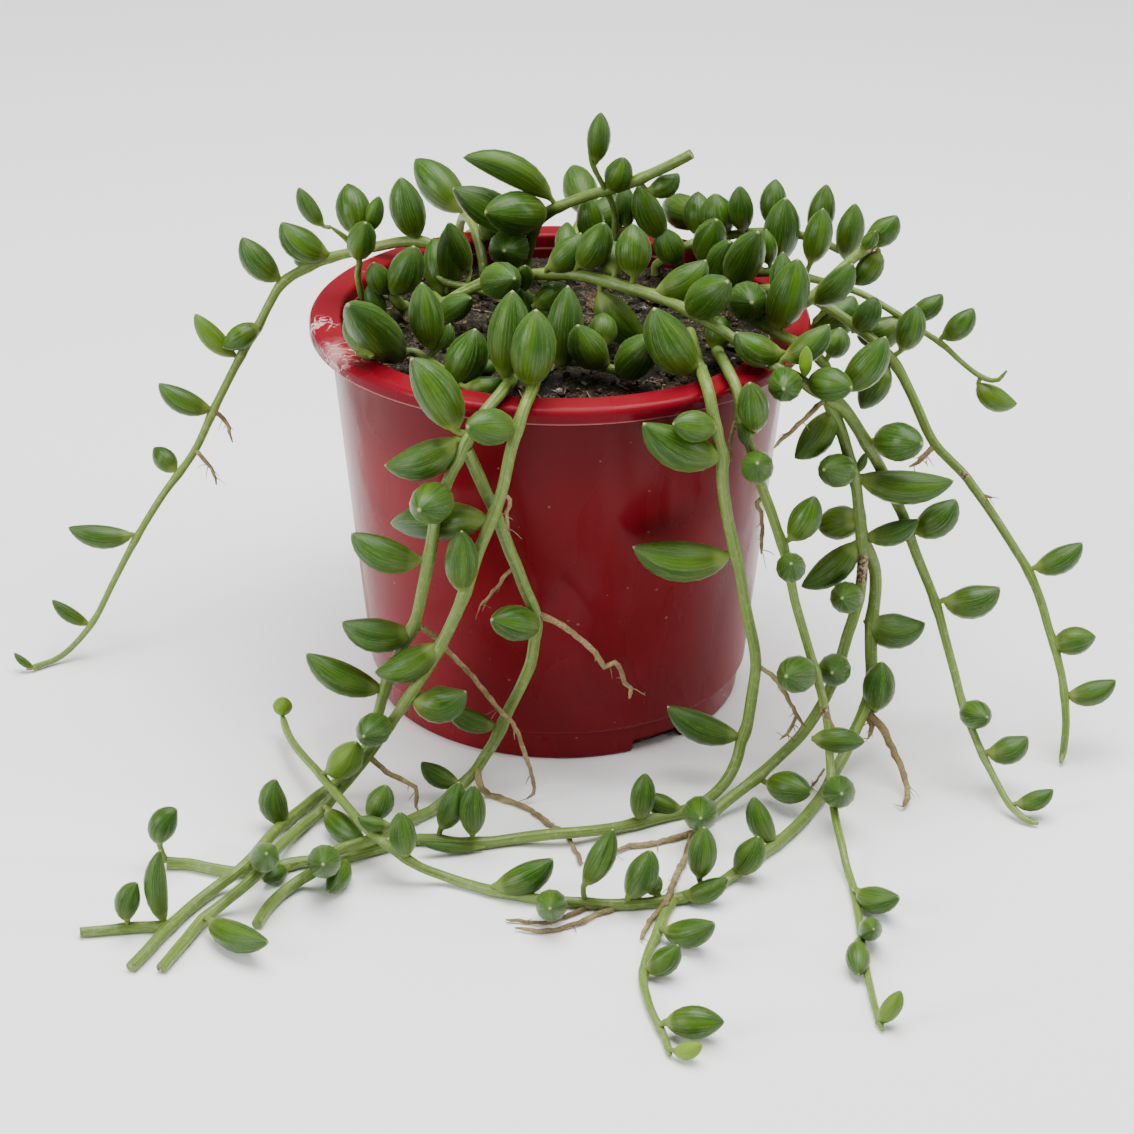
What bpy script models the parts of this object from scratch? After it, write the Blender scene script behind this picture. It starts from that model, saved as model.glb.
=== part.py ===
"""A potted string of watermelons: a red nursery pot, its soil, and the trailing stems with their leaves.

The pot stands on its flat base at the origin, +Z up, with its front towards -Y. Lengths are in
millimetres, and MM turns them into Blender's metres. The stems are laid out as seen from one point in
front of the pot: at() and on() take a place as it shows on the upright plane through the pot's axis, and
give the point in space along that line of sight.
"""
import math
import random

import bmesh
import bpy
import numpy as np
from mathutils import Vector

MM = 0.001

POT_HEIGHT = 81.5
LIP_RADIUS = 50.0
LIP_INNER = 43.6
SKIRT_BOTTOM = 78.3
SKIRT_THICK = 1.1
LIP_THICK = 2.3
WALL = 1.3
FLOOR = 1.5
FOOT_RADIUS = 37.7
FOOT_HEIGHT = 6.8
BODY_RADIUS_LOW = 39.2
BODY_FLARE = 0.0974
POT_STEPS = 40
SOIL_STEPS = 28

DRAIN_WIDTH = 12.0
DRAIN_HEIGHT = 3.0
DRAIN_DEPTH = 6.0
DRAIN_RADIUS = 37.4
DRAIN_COUNT = 3
DRAIN_TURN = math.radians(-57)

SOIL_TOP = 76.8
SOIL_GAP = 0.3
ROOTING_DEPTH = 6.4
HOLE_MARGIN = 0.7
HOLE_LENGTH = 20.0
HOLE_SIDES = 10

EYE = np.array([0.0, -582.7, 312.5])
LYING = 1.25
STEM_THICK = 2.4
STEM_END = 2.2
STRAIGHTNESS = 0.55
LEAF_GAP = 0.55
NECK_RADIUS = 0.55
PLUMP = 1.05
NARROW_LEAF = 7.5
SMALL_LEAF = 4.6
SHORT_NECK = 1.5
TABLE_GAP = 0.05


def at(across, up, forward):
    """The point seen at (across, up), forward of the pot's axis by that much."""
    share = 1 - forward / -EYE[1]
    return tuple(EYE + (np.array([across, 0.0, up]) - EYE) * share)


def on(across, up, height):
    """The point seen at (across, up) that is height above the table."""
    share = (EYE[2] - height) / (EYE[2] - up)
    return tuple(EYE + (np.array([across, 0.0, up]) - EYE) * share)


def hang(first, last, *places):
    """A root's points, going evenly from one forward distance to another."""
    step = (last - first) / (len(places) - 1)
    return [at(across, up, first + step * k) for k, (across, up) in enumerate(places)]


def lie(height, *places):
    """A root's points along the table."""
    return [on(across, up, height) for across, up in places]


T = LYING

# The stems, from root to growing end.
STRANDS = {
    "far_left": [on(-20, 87.5, 75), at(-23, 93, -27), at(-26.5, 95.6, -27), at(-31, 95.8, -28.5),
        at(-36, 94.8, -30.5), at(-40.8, 93.6, -31.5), at(-45.6, 92.3, -31.5), at(-50, 90.3, -31),
        at(-55, 87.1, -30), at(-57.9, 82.5, -29), at(-60.5, 77.3, -28), at(-64, 71.3, -27),
        at(-69.7, 60, -23), at(-74.4, 50, -19), at(-81.4, 40, -15), at(-87.4, 30, -11), at(-92.6, 20, -8),
        at(-96.6, 12, -5), at(-101, 6, -3), on(-105.5, 2, 1.3), on(-112, -0.6, 1.0)],
    "left_side": [on(-38, 80, 75), at(-39.4, 84.2, -8), at(-40.2, 88.5, -7), at(-39.9, 92.2, -6),
        at(-42, 96, -4), at(-45.2, 98.7, -2)],
    "front_left": [on(-7, 70, 75), on(-9, 67.8, 79.5), at(-11.3, 64.3, 44.8), at(-12.8, 62.3, 48.5),
        at(-15, 59.5, 52), at(-17, 56, 53.5), at(-19, 52.5, 54.5), at(-20.5, 48.5, 55), at(-22.3, 45, 55),
        at(-25, 37, 55), at(-26.3, 29, 54), at(-28.2, 19, 53), at(-30, 11, 52.5), at(-33.3, 4, 52),
        at(-36, -3, 52), at(-38, -10.5, 51.5), at(-40.5, -18.5, 51), at(-43.5, -22.8, 52),
        at(-47, -27.5, 54.3), on(-51, -30.7, 1.8), on(-54.6, -34, T), on(-58.6, -37.7, T),
        on(-61.7, -40.8, 2.3), on(-66.6, -47.2, 4.2), on(-70.4, -51.1, 3.4), on(-73.9, -54, 1.8),
        on(-79.4, -58.9, T), on(-85.6, -65.3, T), on(-90.3, -71, T), on(-94, -75.2, T)],
    "front_left_fork": [at(-18.9, 51.2, 54.6), at(-17, 46.5, 53), at(-15, 41.5, 51.2),
        at(-13.3, 37.5, 50.5), at(-12, 34, 50.2), at(-10.2, 28.5, 50), at(-8.5, 24, 50), at(-7, 19.5, 50),
        at(-5, 14.5, 50), at(-4.5, 11.5, 50), at(-4.9, 7, 50), at(-5.6, 2, 49.5), at(-7, -2, 49.5),
        at(-8.7, -6, 49), at(-10.5, -10, 49), at(-12, -14, 49), at(-13.5, -17.5, 49.5),
        at(-15.5, -21, 50), at(-17.3, -24.3, 51), at(-19.5, -27, 52.5), at(-22, -29.6, 55),
        on(-24.5, -32.2, 2.2), on(-27.5, -34.8, T), on(-31, -36.6, 1.4), on(-35, -38.7, 2.7),
        on(-39, -41.3, 4.2), on(-43, -43, 4.6), on(-47, -44.4, 4.7), on(-50.3, -46.6, 4.7),
        on(-52.7, -50, 3.6), on(-55.9, -52.3, 1.8), on(-59.8, -55.6, T), on(-63.3, -59.7, T),
        on(-65.7, -63.8, T)],
    "front_left_end": [on(-84.6, -64.2, 1.5), on(-88, -64.6, 1.3), on(-92.6, -64.8, 1.1),
        on(-98.2, -65.5, 1.1), on(-104.8, -66.2, 1.1)],
    "front_inner": [on(-3, 70, 75), on(-4.6, 67, 79.5), at(-5.4, 64.8, 44), at(-6, 63, 47.6),
        at(-6.8, 61.2, 50.5), at(-8, 57.5, 53), at(-9.4, 52.5, 54.5), at(-10.1, 49.5, 55),
        at(-11.8, 41, 55.5), at(-14.2, 34, 56), at(-16.8, 27, 56), at(-19, 19.5, 56.5), at(-22, 11.5, 57),
        at(-25, 5, 57.5), at(-29, -2.5, 58), at(-33.5, -10, 58.5), at(-38, -17, 58), at(-41.2, -22, 58),
        at(-45, -27.3, 59), at(-48, -31, 60.3), on(-50.3, -34.2, 2.2), on(-53.4, -37.2, T),
        on(-57.3, -41, 1.9), on(-60.7, -44.6, 4), on(-64.7, -50.3, 6.3), on(-68.6, -54.4, 5),
        on(-71.9, -57.5, 2.8), on(-77, -62.3, T), on(-82.1, -68.7, T), on(-87.3, -75.5, T)],
    "front_right": [on(26, 73.5, 75), on(27.8, 70.5, 80.4), at(28.4, 69, 33.5), at(29, 67.5, 38.7),
        at(29.7, 65.5, 42.6), at(30.5, 62.5, 45), at(31.5, 57.5, 46.5), at(32.5, 53, 47),
        at(33.4, 49.8, 47.2), at(33.4, 46, 47), at(33.9, 41, 46.5), at(35, 35, 46), at(36.4, 29, 46),
        at(37.9, 22.5, 45.5), at(39, 16.5, 45), at(40.2, 11, 45), at(41.3, 6, 45), at(41.8, 1.5, 45),
        at(41.5, -3, 45.5), at(41, -8, 46), at(40.4, -13, 46.5), at(39.3, -17, 47), at(38.6, -21, 48.3),
        at(37.2, -25, 50.5), at(35.2, -28.3, 53), on(32.2, -31.5, 2), on(29, -33.7, T), on(24, -35.3, T),
        on(19, -36.8, T), on(13, -38.4, 1.6), on(6, -39.5, 2.6), on(-1, -40.2, 2.6), on(-8, -41.2, 1.5),
        on(-15, -42.4, T), on(-21, -42.6, T), on(-27, -41.8, T), on(-32, -41.9, T), on(-37, -43.6, T),
        on(-43, -45.6, T), on(-49, -47.2, T), on(-55, -47.6, T), on(-60, -48.9, T), on(-65, -50.2, T),
        on(-70, -50.4, T), on(-75.3, -49.5, T), on(-80, -48.4, T), on(-84.7, -48.2, T)],
    "right_long": [on(31.5, 76, 75), on(31.6, 73.6, 79.8), at(32.4, 71.6, 25), at(33.4, 69.8, 32),
        at(34.4, 67.8, 37), at(35.6, 65.2, 40), at(36.5, 61.5, 42), at(36.9, 58, 42.5),
        at(37.9, 55, 42.5), at(39, 52, 42.5), at(40.3, 47, 42.5), at(42, 42, 43), at(43.5, 38, 43),
        at(45.2, 33, 43.5), at(46.8, 28.5, 44), at(48.1, 23, 44.3), at(49.4, 17, 44.8),
        at(51, 11.5, 45.3), at(52.8, 5.5, 46), at(54.5, 0, 46.7), at(55.9, -5, 47.5), at(57, -9.5, 48.5),
        at(57.8, -14, 50), at(58.2, -18.5, 51.5), at(58.6, -23, 54), at(59, -27.5, 57.5),
        at(59.6, -32, 63), at(60.6, -37, 69.5), at(62, -42.5, 76.5), on(63.3, -48, 2), on(64.9, -53, T),
        on(66, -58, T), on(66.9, -63, T), on(67.7, -68, T), on(68.8, -74, T), on(70.1, -79.5, T),
        on(71.3, -84.3, T), on(72.6, -88.5, 1.0), on(73.4, -90.8, 0.8)],
    "over_crown": [on(-25.5, 81, 75), on(-23.3, 82.8, 82), at(-20, 84.8, -4), at(-16, 86.9, -3),
        at(-12, 88, -1), at(-8.5, 88.6, 0), at(-5, 89.1, 2), at(0, 89.3, 4), at(3, 89.2, 5),
        at(6, 88.6, 7), at(10, 87.5, 9), at(15, 86, 12), at(20, 84.3, 15), at(24, 82.5, 18),
        at(27, 80.7, 20), at(30, 78.9, 22), at(33, 77, 24), at(35.5, 75.2, 25.5), at(38, 73.4, 27.5),
        at(41, 71.3, 29.5), at(44, 69.4, 32), at(47, 67.7, 32.5), at(49.3, 66.3, 32.5),
        at(51.5, 64.5, 32), at(54, 62.8, 31.5)],
    "right_middle": [at(54, 62.8, 31.5), at(55.7, 59.5, 30.5), at(57.2, 56, 30), at(58.5, 52, 30),
        at(60, 47, 30), at(61, 43, 30), at(61.6, 39, 30), at(62.2, 35, 30), at(62.8, 31, 30),
        at(63.1, 27, 30), at(63.1, 22, 30.3), at(62.6, 17.5, 31), at(61.8, 13, 32), at(60.8, 9, 33),
        at(59.9, 4.5, 34.5), at(58.9, 0, 36), at(57.6, -4, 38), at(56.2, -7.5, 39.5),
        at(54.8, -10.5, 41.5), at(53, -13.7, 43.5), at(51, -16.6, 45.5), at(48.5, -19.5, 48),
        at(45.7, -22.7, 50.7), at(43, -25.7, 53.7), at(40, -28.5, 56.5), on(37, -31.3, 3.2),
        on(34, -34.5, 1.8), on(32.3, -36.9, T)],
    "right_outer": [at(54, 62.8, 31.5), at(56.8, 61.5, 31.3), at(59.3, 58.3, 30), at(61.8, 54.3, 29),
        at(64, 50.5, 28), at(66.2, 46.5, 27), at(68.7, 41.2, 26.5), at(71, 36.5, 26.5), at(72.6, 32, 27),
        at(74.3, 27.5, 27.5), at(76, 23.5, 28), at(77.8, 19.2, 29), at(79.5, 14.5, 30.3), at(81, 9.5, 32),
        at(82.5, 4.5, 34), at(84, -0.5, 36.5), at(85.4, -5.5, 39.5), at(87, -10, 42.5), at(89, -15, 46),
        at(91.2, -20, 49), at(94, -25.5, 53), at(97, -31, 57.3), on(99.6, -34.1, 1.8), on(102, -36, 1.0),
        on(104.3, -36.7, 0.9)],
    "front_low": [at(62.8, 31.3, 30), at(64.4, 28.3, 29), at(65.7, 24.5, 28.5), at(66.1, 20.5, 28.5),
        at(66, 16.5, 29), at(65.7, 12.5, 30), at(65.7, 8.5, 31), at(66, 4, 32.5), at(66.3, 0, 34),
        at(66.2, -4, 36), at(65.4, -8.5, 38.5), at(64, -12.5, 41), at(62.6, -16.5, 43.3),
        at(61.2, -20.5, 45.5), at(59.4, -24.5, 48.8), at(58.1, -28.2, 52.3), on(56.7, -31, T),
        on(55, -33.5, T), on(52.7, -36.8, T), on(50.3, -39.6, T), on(47.7, -42.2, T), on(45, -44.6, T),
        on(42, -47.2, T), on(39, -49.9, T), on(36, -52.2, T), on(32.5, -54.3, T), on(29, -55.7, T),
        on(25, -56.8, T), on(20, -57.5, T), on(15, -57.9, T), on(10, -57.9, T), on(3, -57.4, T),
        on(-3, -56.9, T), on(-8, -56, T), on(-14, -54.7, T), on(-20, -52.8, T), on(-25, -50.8, 2),
        on(-29.5, -48.8, 3.8), on(-34, -45.6, 6), on(-38.3, -41.8, 7.3), on(-41.8, -38.2, 7.5),
        on(-45.3, -33.4, 8), on(-48.3, -29.3, 8.4), on(-51.5, -24.7, 7.9), on(-54, -21.5, 7),
        on(-56.2, -18.2, 6.6), on(-57.6, -15, 6.2), on(-58.4, -11.5, 6)],
    "front_foot": [on(25.6, -56.7, T), on(24.2, -59.5, T), on(23.2, -63, T), on(22, -66.5, T),
        on(20.7, -70, T), on(19.8, -74, T), on(19.5, -78, T), on(20.1, -81, T), on(21.2, -85, T),
        on(22.7, -88.7, T), on(24.2, -92, 1.1), on(25.2, -95, 1.0), on(26, -98, 0.8)],
    "far_right": [on(33, 83, 75), at(36, 85.5, -13), at(41, 86.3, -9), at(46, 85.9, -6), at(51, 84, -3),
        at(56, 80.8, 0), at(61, 77, 2), at(64, 74.5, 4), at(66.3, 71.9, 5), at(68.4, 69, 6),
        at(70, 66, 7), at(71.6, 62.8, 8), at(73.2, 59.3, 9), at(74.8, 55.8, 10), at(76.8, 52.5, 11),
        at(79.9, 49.2, 12), at(83, 46, 13), at(85.2, 43, 14), at(87.4, 40, 15), at(89.8, 36.5, 16),
        at(92.3, 32.7, 17.5), at(94.8, 28.8, 19), at(97.2, 25, 20.5), at(99.2, 21, 22), at(101.2, 16, 24),
        at(102.8, 11, 26), at(104.3, 7, 27.5), at(105.5, 3, 29.5), at(106.5, -0.5, 31),
        at(107.3, -4.5, 33), at(107.9, -8.5, 34.5), at(108.3, -12.5, 36), at(108.3, -16, 37),
        on(108.2, -19, 2), on(107.9, -21.4, 1.1)],
    "right_bud": [on(25.5, 87, 75), at(31, 89.4, -23), at(39, 89.8, -15.5), at(44, 90, -13),
        at(50, 88.6, -10), at(56, 87, -8), at(61, 85, -6), at(66, 82, -4), at(72.5, 77.6, -1),
        at(75, 76, 0), at(77.5, 74.1, 1), at(80, 71.7, 2), at(82.7, 69.4, 3), at(85, 67.8, 4),
        at(87.2, 67, 5), at(88.5, 67.2, 5.5), at(90, 69.2, 6)],
    "top_cut": [on(-6.8, 89, 75), at(-6.4, 94.5, -35.5), at(-5.4, 98, -34.5), at(-4.4, 100.2, -33),
        at(-2.4, 102.2, -32), at(0.5, 103.7, -30), at(5, 105.6, -28), at(9, 106.7, -26), at(13, 108, -25),
        at(16.5, 109.7, -24), at(20, 111.4, -23), at(23, 113, -22), at(25.4, 114.4, -21.5)],
    "top_shoot": [on(10, 89, 75), at(10.3, 94.5, -32.5), at(10.8, 99.3, -31), at(10.4, 103, -28.5),
        at(9, 106.5, -26), at(7.6, 109, -25), at(6.2, 112, -24), at(5.3, 115.5, -23.5)],
    "back_right": [on(19, 88, 75), at(21.5, 93, -30.5), at(26, 95.8, -29.5), at(31, 97.2, -29),
        at(38, 98.3, -28), at(43, 98.2, -26), at(48, 97.6, -24), at(52, 96.3, -22), at(56, 94, -20)],
    "right_pair": [on(29, 84, 75), at(31, 85.3, -3), at(33, 84, 4), at(36, 81.5, 9), at(39, 79.5, 13),
        at(42, 78, 16), at(45, 76.1, 18.5), at(47.5, 75, 20), at(51, 72.5, 22), at(54.5, 69, 23)],
    "right_pair_fork": [at(39.5, 79.2, 13.5), at(42, 79.8, 14), at(45, 81, 13), at(50, 84.5, 12),
        at(54, 89, 10), at(58, 93, 8), at(61.5, 95.8, 7), at(63.7, 96.7, 6)],
    "crown_left": [on(-19, 65.5, 75), on(-19.6, 65.8, 79.2), on(-22, 67.3, 79.6), on(-26.5, 70.5, 80),
        on(-29.5, 72.3, 80.4), on(-33, 71.5, 81), on(-37, 71.5, 82.4), on(-41, 72, 83.4)],
    "crown_back": [on(-14, 83.5, 75), at(-14.5, 85, -19), at(-17.5, 86, -16.5), at(-22, 87, -16),
        at(-24.5, 88.5, -17)],
    "crown_middle": [on(14, 69.5, 75), on(13.6, 69, 79.3), on(11, 68.8, 79.6), on(8, 69.5, 79.4),
        on(4.5, 70.3, 79.3), on(1, 70, 79.8)],
    "crown_sprig": [on(-5.5, 75.5, 75), at(-5.3, 79.5, 2), at(-5, 82.5, 3)],
    "left_middle": [on(-31, 79, 75), at(-31.5, 82, -8.5), at(-33, 84, -7), at(-34, 86, -6.5)],
    "back_trail": [(2, 33, 75), (2.6, 36.5, 79.6), (3.3, 40.5, 83), (5, 47, 84), (7, 52.5, 81),
        (8.5, 55, 74), (9.5, 55.5, 60), (9, 55, 44), (7.5, 55, 28), (6, 57, 14), (5, 61, 4), (3, 68, T),
        (-2, 76, T), (-9, 82, T), (-17, 86, 1.2), (-24, 87.5, 1.0)],
    "back_hang": [(-16, 31, 75), (-16.6, 35, 80.3), (-17.8, 40, 83.1), (-20, 47.5, 84),
        (-21.5, 52.5, 80.5), (-22.5, 54, 72), (-22, 53.5, 58), (-20.5, 53, 44), (-19.5, 52.5, 31)],
}

# Each leaf: where its base and its tip show, its width, how far its tip leans towards the eye (1 and -1 let its
# true length say) and, where it isn't by rule, how far it arches to its left as a share of its width.
LEAVES = {
    "far_left": [(-110.4, -0.3, -114.4, 3.4, 1.8, 0), (-98.2, 10.3, -105.6, 16, 3.1, 0),
        (-88, 31.2, -101.2, 32.8, 4.9, 0), (-78.4, 45.6, -82.6, 50.9, 4.5, -1),
        (-70.6, 59.5, -80.9, 65.2, 5, 0), (-65.2, 71.2, -72.9, 80.3, 4.5, 0),
        (-60.2, 77.7, -67.6, 72.9, 5, 1), (-55.7, 87.7, -62.8, 96.6, 5.9, 0),
        (-45.9, 93, -55, 99.8, 6.5, 0), (-50, 90.6, -52.2, 93.4, 3.5, -1),
        (-28.2, 96.6, -31.3, 109.3, 7, 0)],
    "left_side": [(-46.8, 99, -51.4, 107, 3.8, 0), (-39.8, 97, -41.8, 107.9, 7, -1),
        (-37.5, 98, -35.6, 105.3, 3.6, -1), (-40.1, 92.4, -38.4, 99.8, 5.8, 1)],
    "front_left": [(-21, 55.3, -30, 71, 9, 0, -0.1), (-21, 53.2, -35.7, 47.3, 7.6, 0),
        (-23.6, 40.3, -28.8, 37.2, 8.6, 1), (-28.6, 25.8, -42.8, 32, 7.4, 0),
        (-30.7, 9, -45.3, 11.3, 7.2, 0), (-37.2, -4.7, -53, 3.8, 6.8, 0),
        (-86, -63.3, -86, -44.8, 5.2, 0, 0.3), (-58.2, -38, -60.2, -26.8, 6.2, 0, 0.33),
        (-11, 67, -9.5, 85.8, 8.8, 0)],
    "front_left_end": [(-94.2, -63, -91.4, -53.2, 5.6, 0, 0.2)],
    "front_left_fork": [(-4.2, 10.5, -14, 12, 7.5, 1), (-13, -13.3, -23.5, -8.5, 5, 0),
        (-21, -27.5, -29, -22.3, 4.7, 0), (-50.2, -46.9, -50.8, -48.3, 7.4, 1)],
    "front_inner": [(-20.2, 18.8, -20, 32.7, 7, 0), (-14.9, 35.3, -34.7, 34.2, 8, -14, 0),
        (-25.5, 6, -38.7, -0.7, 7, 0), (-30.5, -7, -19.3, -5, 8, 0), (-6.2, 65, -4.8, 81.8, 9.2, 0),
        (-76, -62.8, -63.2, -68.4, 6.6, 0), (-49.3, -34.4, -41.3, -42.6, 5.8, 0),
        (-37, -13, -41.3, -16.3, 7.2, 1), (-9.6, 56, -18.8, 56, 7.6, 1),
        (-63.8, -47.4, -63, -45.6, 6.6, 12)],
    "front_right": [(33, 50, 17, 57.2, 8.5, 0), (31.5, 56, 23, 57, 6.5, 0, 0),
        (35.3, 27.5, 15.3, 29.3, 8.5, 0), (38.8, -15.5, 23.3, -8.3, 6.5, 0),
        (27, -33.5, 19, -29.5, 4.8, 0), (17.8, -36.3, 19, -24.7, 5.5, 0),
        (30.9, -33.6, 31.2, -36, 7.6, 12), (-16, -43.5, -30, -42.5, 2.5, 0),
        (-18.2, -40.5, -18, -28, 5.8, 0), (-25, -39, -21, -27.2, 6, 0), (-46, -47.5, -50, -55.3, 5, 0),
        (-86.1, -43.3, -81.9, -34.4, 6.2, 0, 0.2), (-58.8, -49.4, -64.1, -52.5, 4.4, 0, 0),
        (27.5, 68.5, 18.7, 82.3, 9.2, 0)],
    "right_long": [(40, 55.7, 38.3, 66.3, 6.5, 1), (37, 58, 38.3, 52, 2.5, 0), (31, 73.2, 32.6, 80.6, 5.4, -4),
        (40.5, 46.6, 40.5, 48.4, 6.8, 1), (47.7, 31.2, 52.5, 41.2, 6.5, 0),
        (48.3, 23.8, 48.3, 25.6, 6.2, 1), (52.6, 0, 48.2, -1, 8, 1), (54.5, -16, 65.8, -16.7, 5.5, -1),
        (60, -28.6, 61.4, -29.6, 7.2, 1), (66, -54, 75.3, -55.5, 6, 0), (68.6, -64, 70, -64, 5.2, 1),
        (66.5, -67.5, 67.3, -76, 5.5, 1), (72.3, -88.5, 76.8, -80, 4.5, 0)],
    "over_crown": [(-14.5, 87.3, -9, 88.2, 7.5, 1), (-7, 86, -7, 91, 3.5, 1), (-2.5, 90.5, 4, 98, 6, 0),
        (3.5, 91, 8.5, 100.2, 6.7, 0), (8, 85.5, 17.5, 74.5, 7.5, 0), (19, 85.5, 28.8, 92.5, 6.8, 0),
        (26, 81.5, 33.3, 88, 8, 1), (44.8, 72.7, 35.2, 77.2, 6.6, 0), (45, 71.5, 53.8, 79, 5.8, 0),
        (0.8, 92, 1.3, 100.2, 4.4, -4), (-24, 80, -17.7, 84, 5.5, 6), (14.6, 88.8, 14.2, 100, 7.2, -3),
        (49.4, 67.7, 49.5, 74.2, 2.8, 5), (50.5, 66.5, 59, 65.3, 7, 1), (45.8, 66.8, 45.2, 64.8, 7, 1),
        (10.8, 89.6, 9.8, 96, 6, -5)],
    "right_middle": [(55, 60, 48, 49.5, 6.5, 0), (59.5, 46.7, 54, 47, 7, 1), (61.5, 45.5, 81, 44.8, 7, 0),
        (61, 46.5, 62.5, 51, 2, 0), (63.5, 32, 74.2, 36, 5, 0), (61.7, 36, 53.8, 34, 7, -1),
        (61.5, 30.5, 50.5, 20.2, 6.5, 0), (61, 17.9, 59.2, 17.6, 6.8, 1), (58.9, 1.3, 57.9, -0.1, 7, 1),
        (45.3, -27, 54.8, -29.3, 7, 1)],
    "right_outer": [(57, 65, 65.2, 76.5, 7, 0), (64.5, 53.7, 74, 53, 8, 1), (73, 33.5, 81.5, 40.7, 7, 0),
        (80.5, 17.3, 92, 20.5, 7, 0), (86.5, -9.2, 91.5, -10.5, 6.2, 1), (92, -19, 100.3, -15, 6, 0),
        (99, -31.7, 106.8, -28, 4.3, 0)],
    "front_low": [(64.5, 12.3, 77, 12, 7.5, 0), (67.5, -9, 68.3, 2.8, 7, 0),
        (47.3, -42, 42.5, -30.3, 5.5, 0, 0.2), (39, -49.5, 43.8, -40.3, 6.5, 0),
        (31.3, -51, 32, -38, 6.5, 0), (28, -55.5, 37.5, -50.8, 5, 0), (22.5, -55.5, 20.5, -49.3, 4.5, 0),
        (15.8, -56, 20.5, -44, 7, 0), (6.2, -53, 12.2, -38.7, 6, 0), (-0.7, -57.6, -1.3, -59.2, 7, 1),
        (-13.5, -53.5, -0.7, -46.3, 7, 0), (-32.5, -46, -33.8, -34.8, 6, 0),
        (-40.5, -36.5, -36.8, -28, 6, 0), (-36, -38, -43, -36, 3.5, 0), (-49.3, -25, -43, -17.5, 7, 0),
        (-58.4, -11.2, -58.2, -6.8, 4.2, 0, 0)],
    "front_foot": [(23.8, -64.5, 35, -62.5, 6.5, 0), (20, -75, 27, -68.3, 6, 0),
        (24.7, -89, 38, -88.8, 7.5, 0, 0), (26.5, -96.5, 33, -94.5, 4, 0)],
    "far_right": [(34, 87, 39, 98.5, 7.5, 9), (50.6, 78.2, 58.4, 85.2, 7.5, 0), (58.5, 77.5, 62.8, 85, 5.4, 0),
        (66, 70, 61, 60.5, 6, -1), (68.5, 73.5, 71, 83.2, 6, 0), (98.8, 25, 108.3, 31, 5.5, 0),
        (104, 7, 113, 9, 6, 0, 0), (108, -5, 118, -1.2, 5.3, 0)],
    "right_bud": [(30.7, 88, 33.4, 96.4, 6.5, 4), (41.5, 91.5, 40.5, 99, 4, 0), (49.5, 92, 51.5, 103.5, 5.8, 0),
        (69.5, 81, 76, 85.7, 4.5, 0), (67.8, 80.6, 59.4, 76.4, 6.6, 0), (76.5, 76.3, 82.3, 82.8, 5, 0),
        (84.5, 66.3, 92.7, 62, 5, 0)],
    "top_cut": [(-2, 105, -19.3, 113.3, 6, 0, -0.35), (-3, 102, -15, 102, 8.5, 1),
        (-6, 98, -21.3, 107, 7.5, -1), (-9.2, 95, -11.2, 94, 8, 1), (17, 107, 22.9, 110.5, 4.5, 0)],
    "top_shoot": [(6.8, 112.5, 7.6, 122.8, 4.6, 0), (9.5, 106.8, 12, 113.7, 5.5, 0),
        (7, 95, 5.2, 105.7, 5.5, 0), (13, 99, 12.5, 108.2, 4.3, 0)],
    "back_right": [(20.5, 97, 15.2, 108, 6, 0), (27, 101, 20.7, 104, 7, -1),
        (27.6, 97.4, 26.8, 106.8, 6, 0), (32.4, 97.6, 30.3, 106.4, 7, 0), (36, 98.5, 35, 108, 5, 0),
        (41, 100, 42, 109.5, 5.3, 0), (42.8, 92.2, 44, 105.6, 7.3, 0), (50, 97, 52, 108.5, 5.3, 0),
        (56, 93, 57.8, 104.6, 5.5, 0), (24, 92, 20.2, 99.2, 6, 0), (28.2, 92.2, 30.7, 101, 6.5, 4)],
    "right_pair": [(54, 72, 56, 78.3, 5.6, 0), (36.6, 84, 38.2, 83.4, 8, 1), (42.6, 77.8, 47, 93, 8.2, 0)],
    "right_pair_fork": [(44, 84, 44, 94.3, 5, 0), (50.4, 83.8, 57.9, 92, 5.8, 0), (62.8, 94.6, 58, 87.6, 5.2, 0),
        (60, 97, 66, 102.2, 5.5, 0), (59.5, 95.5, 62, 98.8, 3, 0)],
    "crown_left": [(-32, 71, -42.5, 82.5, 9.0, 8), (-25.5, 73, -27.5, 87.3, 7, 0),
        (-24.5, 73, -22, 78.5, 3.5, 0), (-22, 65.5, -17, 77.5, 8.5, 0), (-19.4, 64.9, -11.6, 66.8, 5, 0),
        (-16.5, 68, -13.5, 71, 3.5, 0),
        (-37.7, 71.9, -42.6, 80.6, 6.5, -2)],
    "crown_back": [(-23.2, 84.5, -25, 96.8, 6.3, -4), (-21.5, 86.5, -22, 99.5, 5.5, 0),
        (-18, 90, -22, 100, 5, 0)],
    "crown_middle": [(0.2, 69, 1.5, 86.9, 7.4, 0), (9.5, 70, 3.5, 78.5, 7.4, 0), (12.5, 67.6, 18.5, 75.8, 8, 1),
        (8.6, 74, 8.6, 81, 5.8, -6)],
    "crown_sprig": [(-5.2, 82.4, 1.8, 86.7, 5.6, -2), (-4.5, 78, -3.8, 84.2, 3.4, 0), (-6.5, 79, -7.5, 86.5, 5, 0)],
    "left_middle": [(-35, 80, -38, 86.8, 4, 0), (-34, 85, -37, 91.5, 5, 0), (-33.5, 85, -29, 95, 7, 0)],
}

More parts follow.
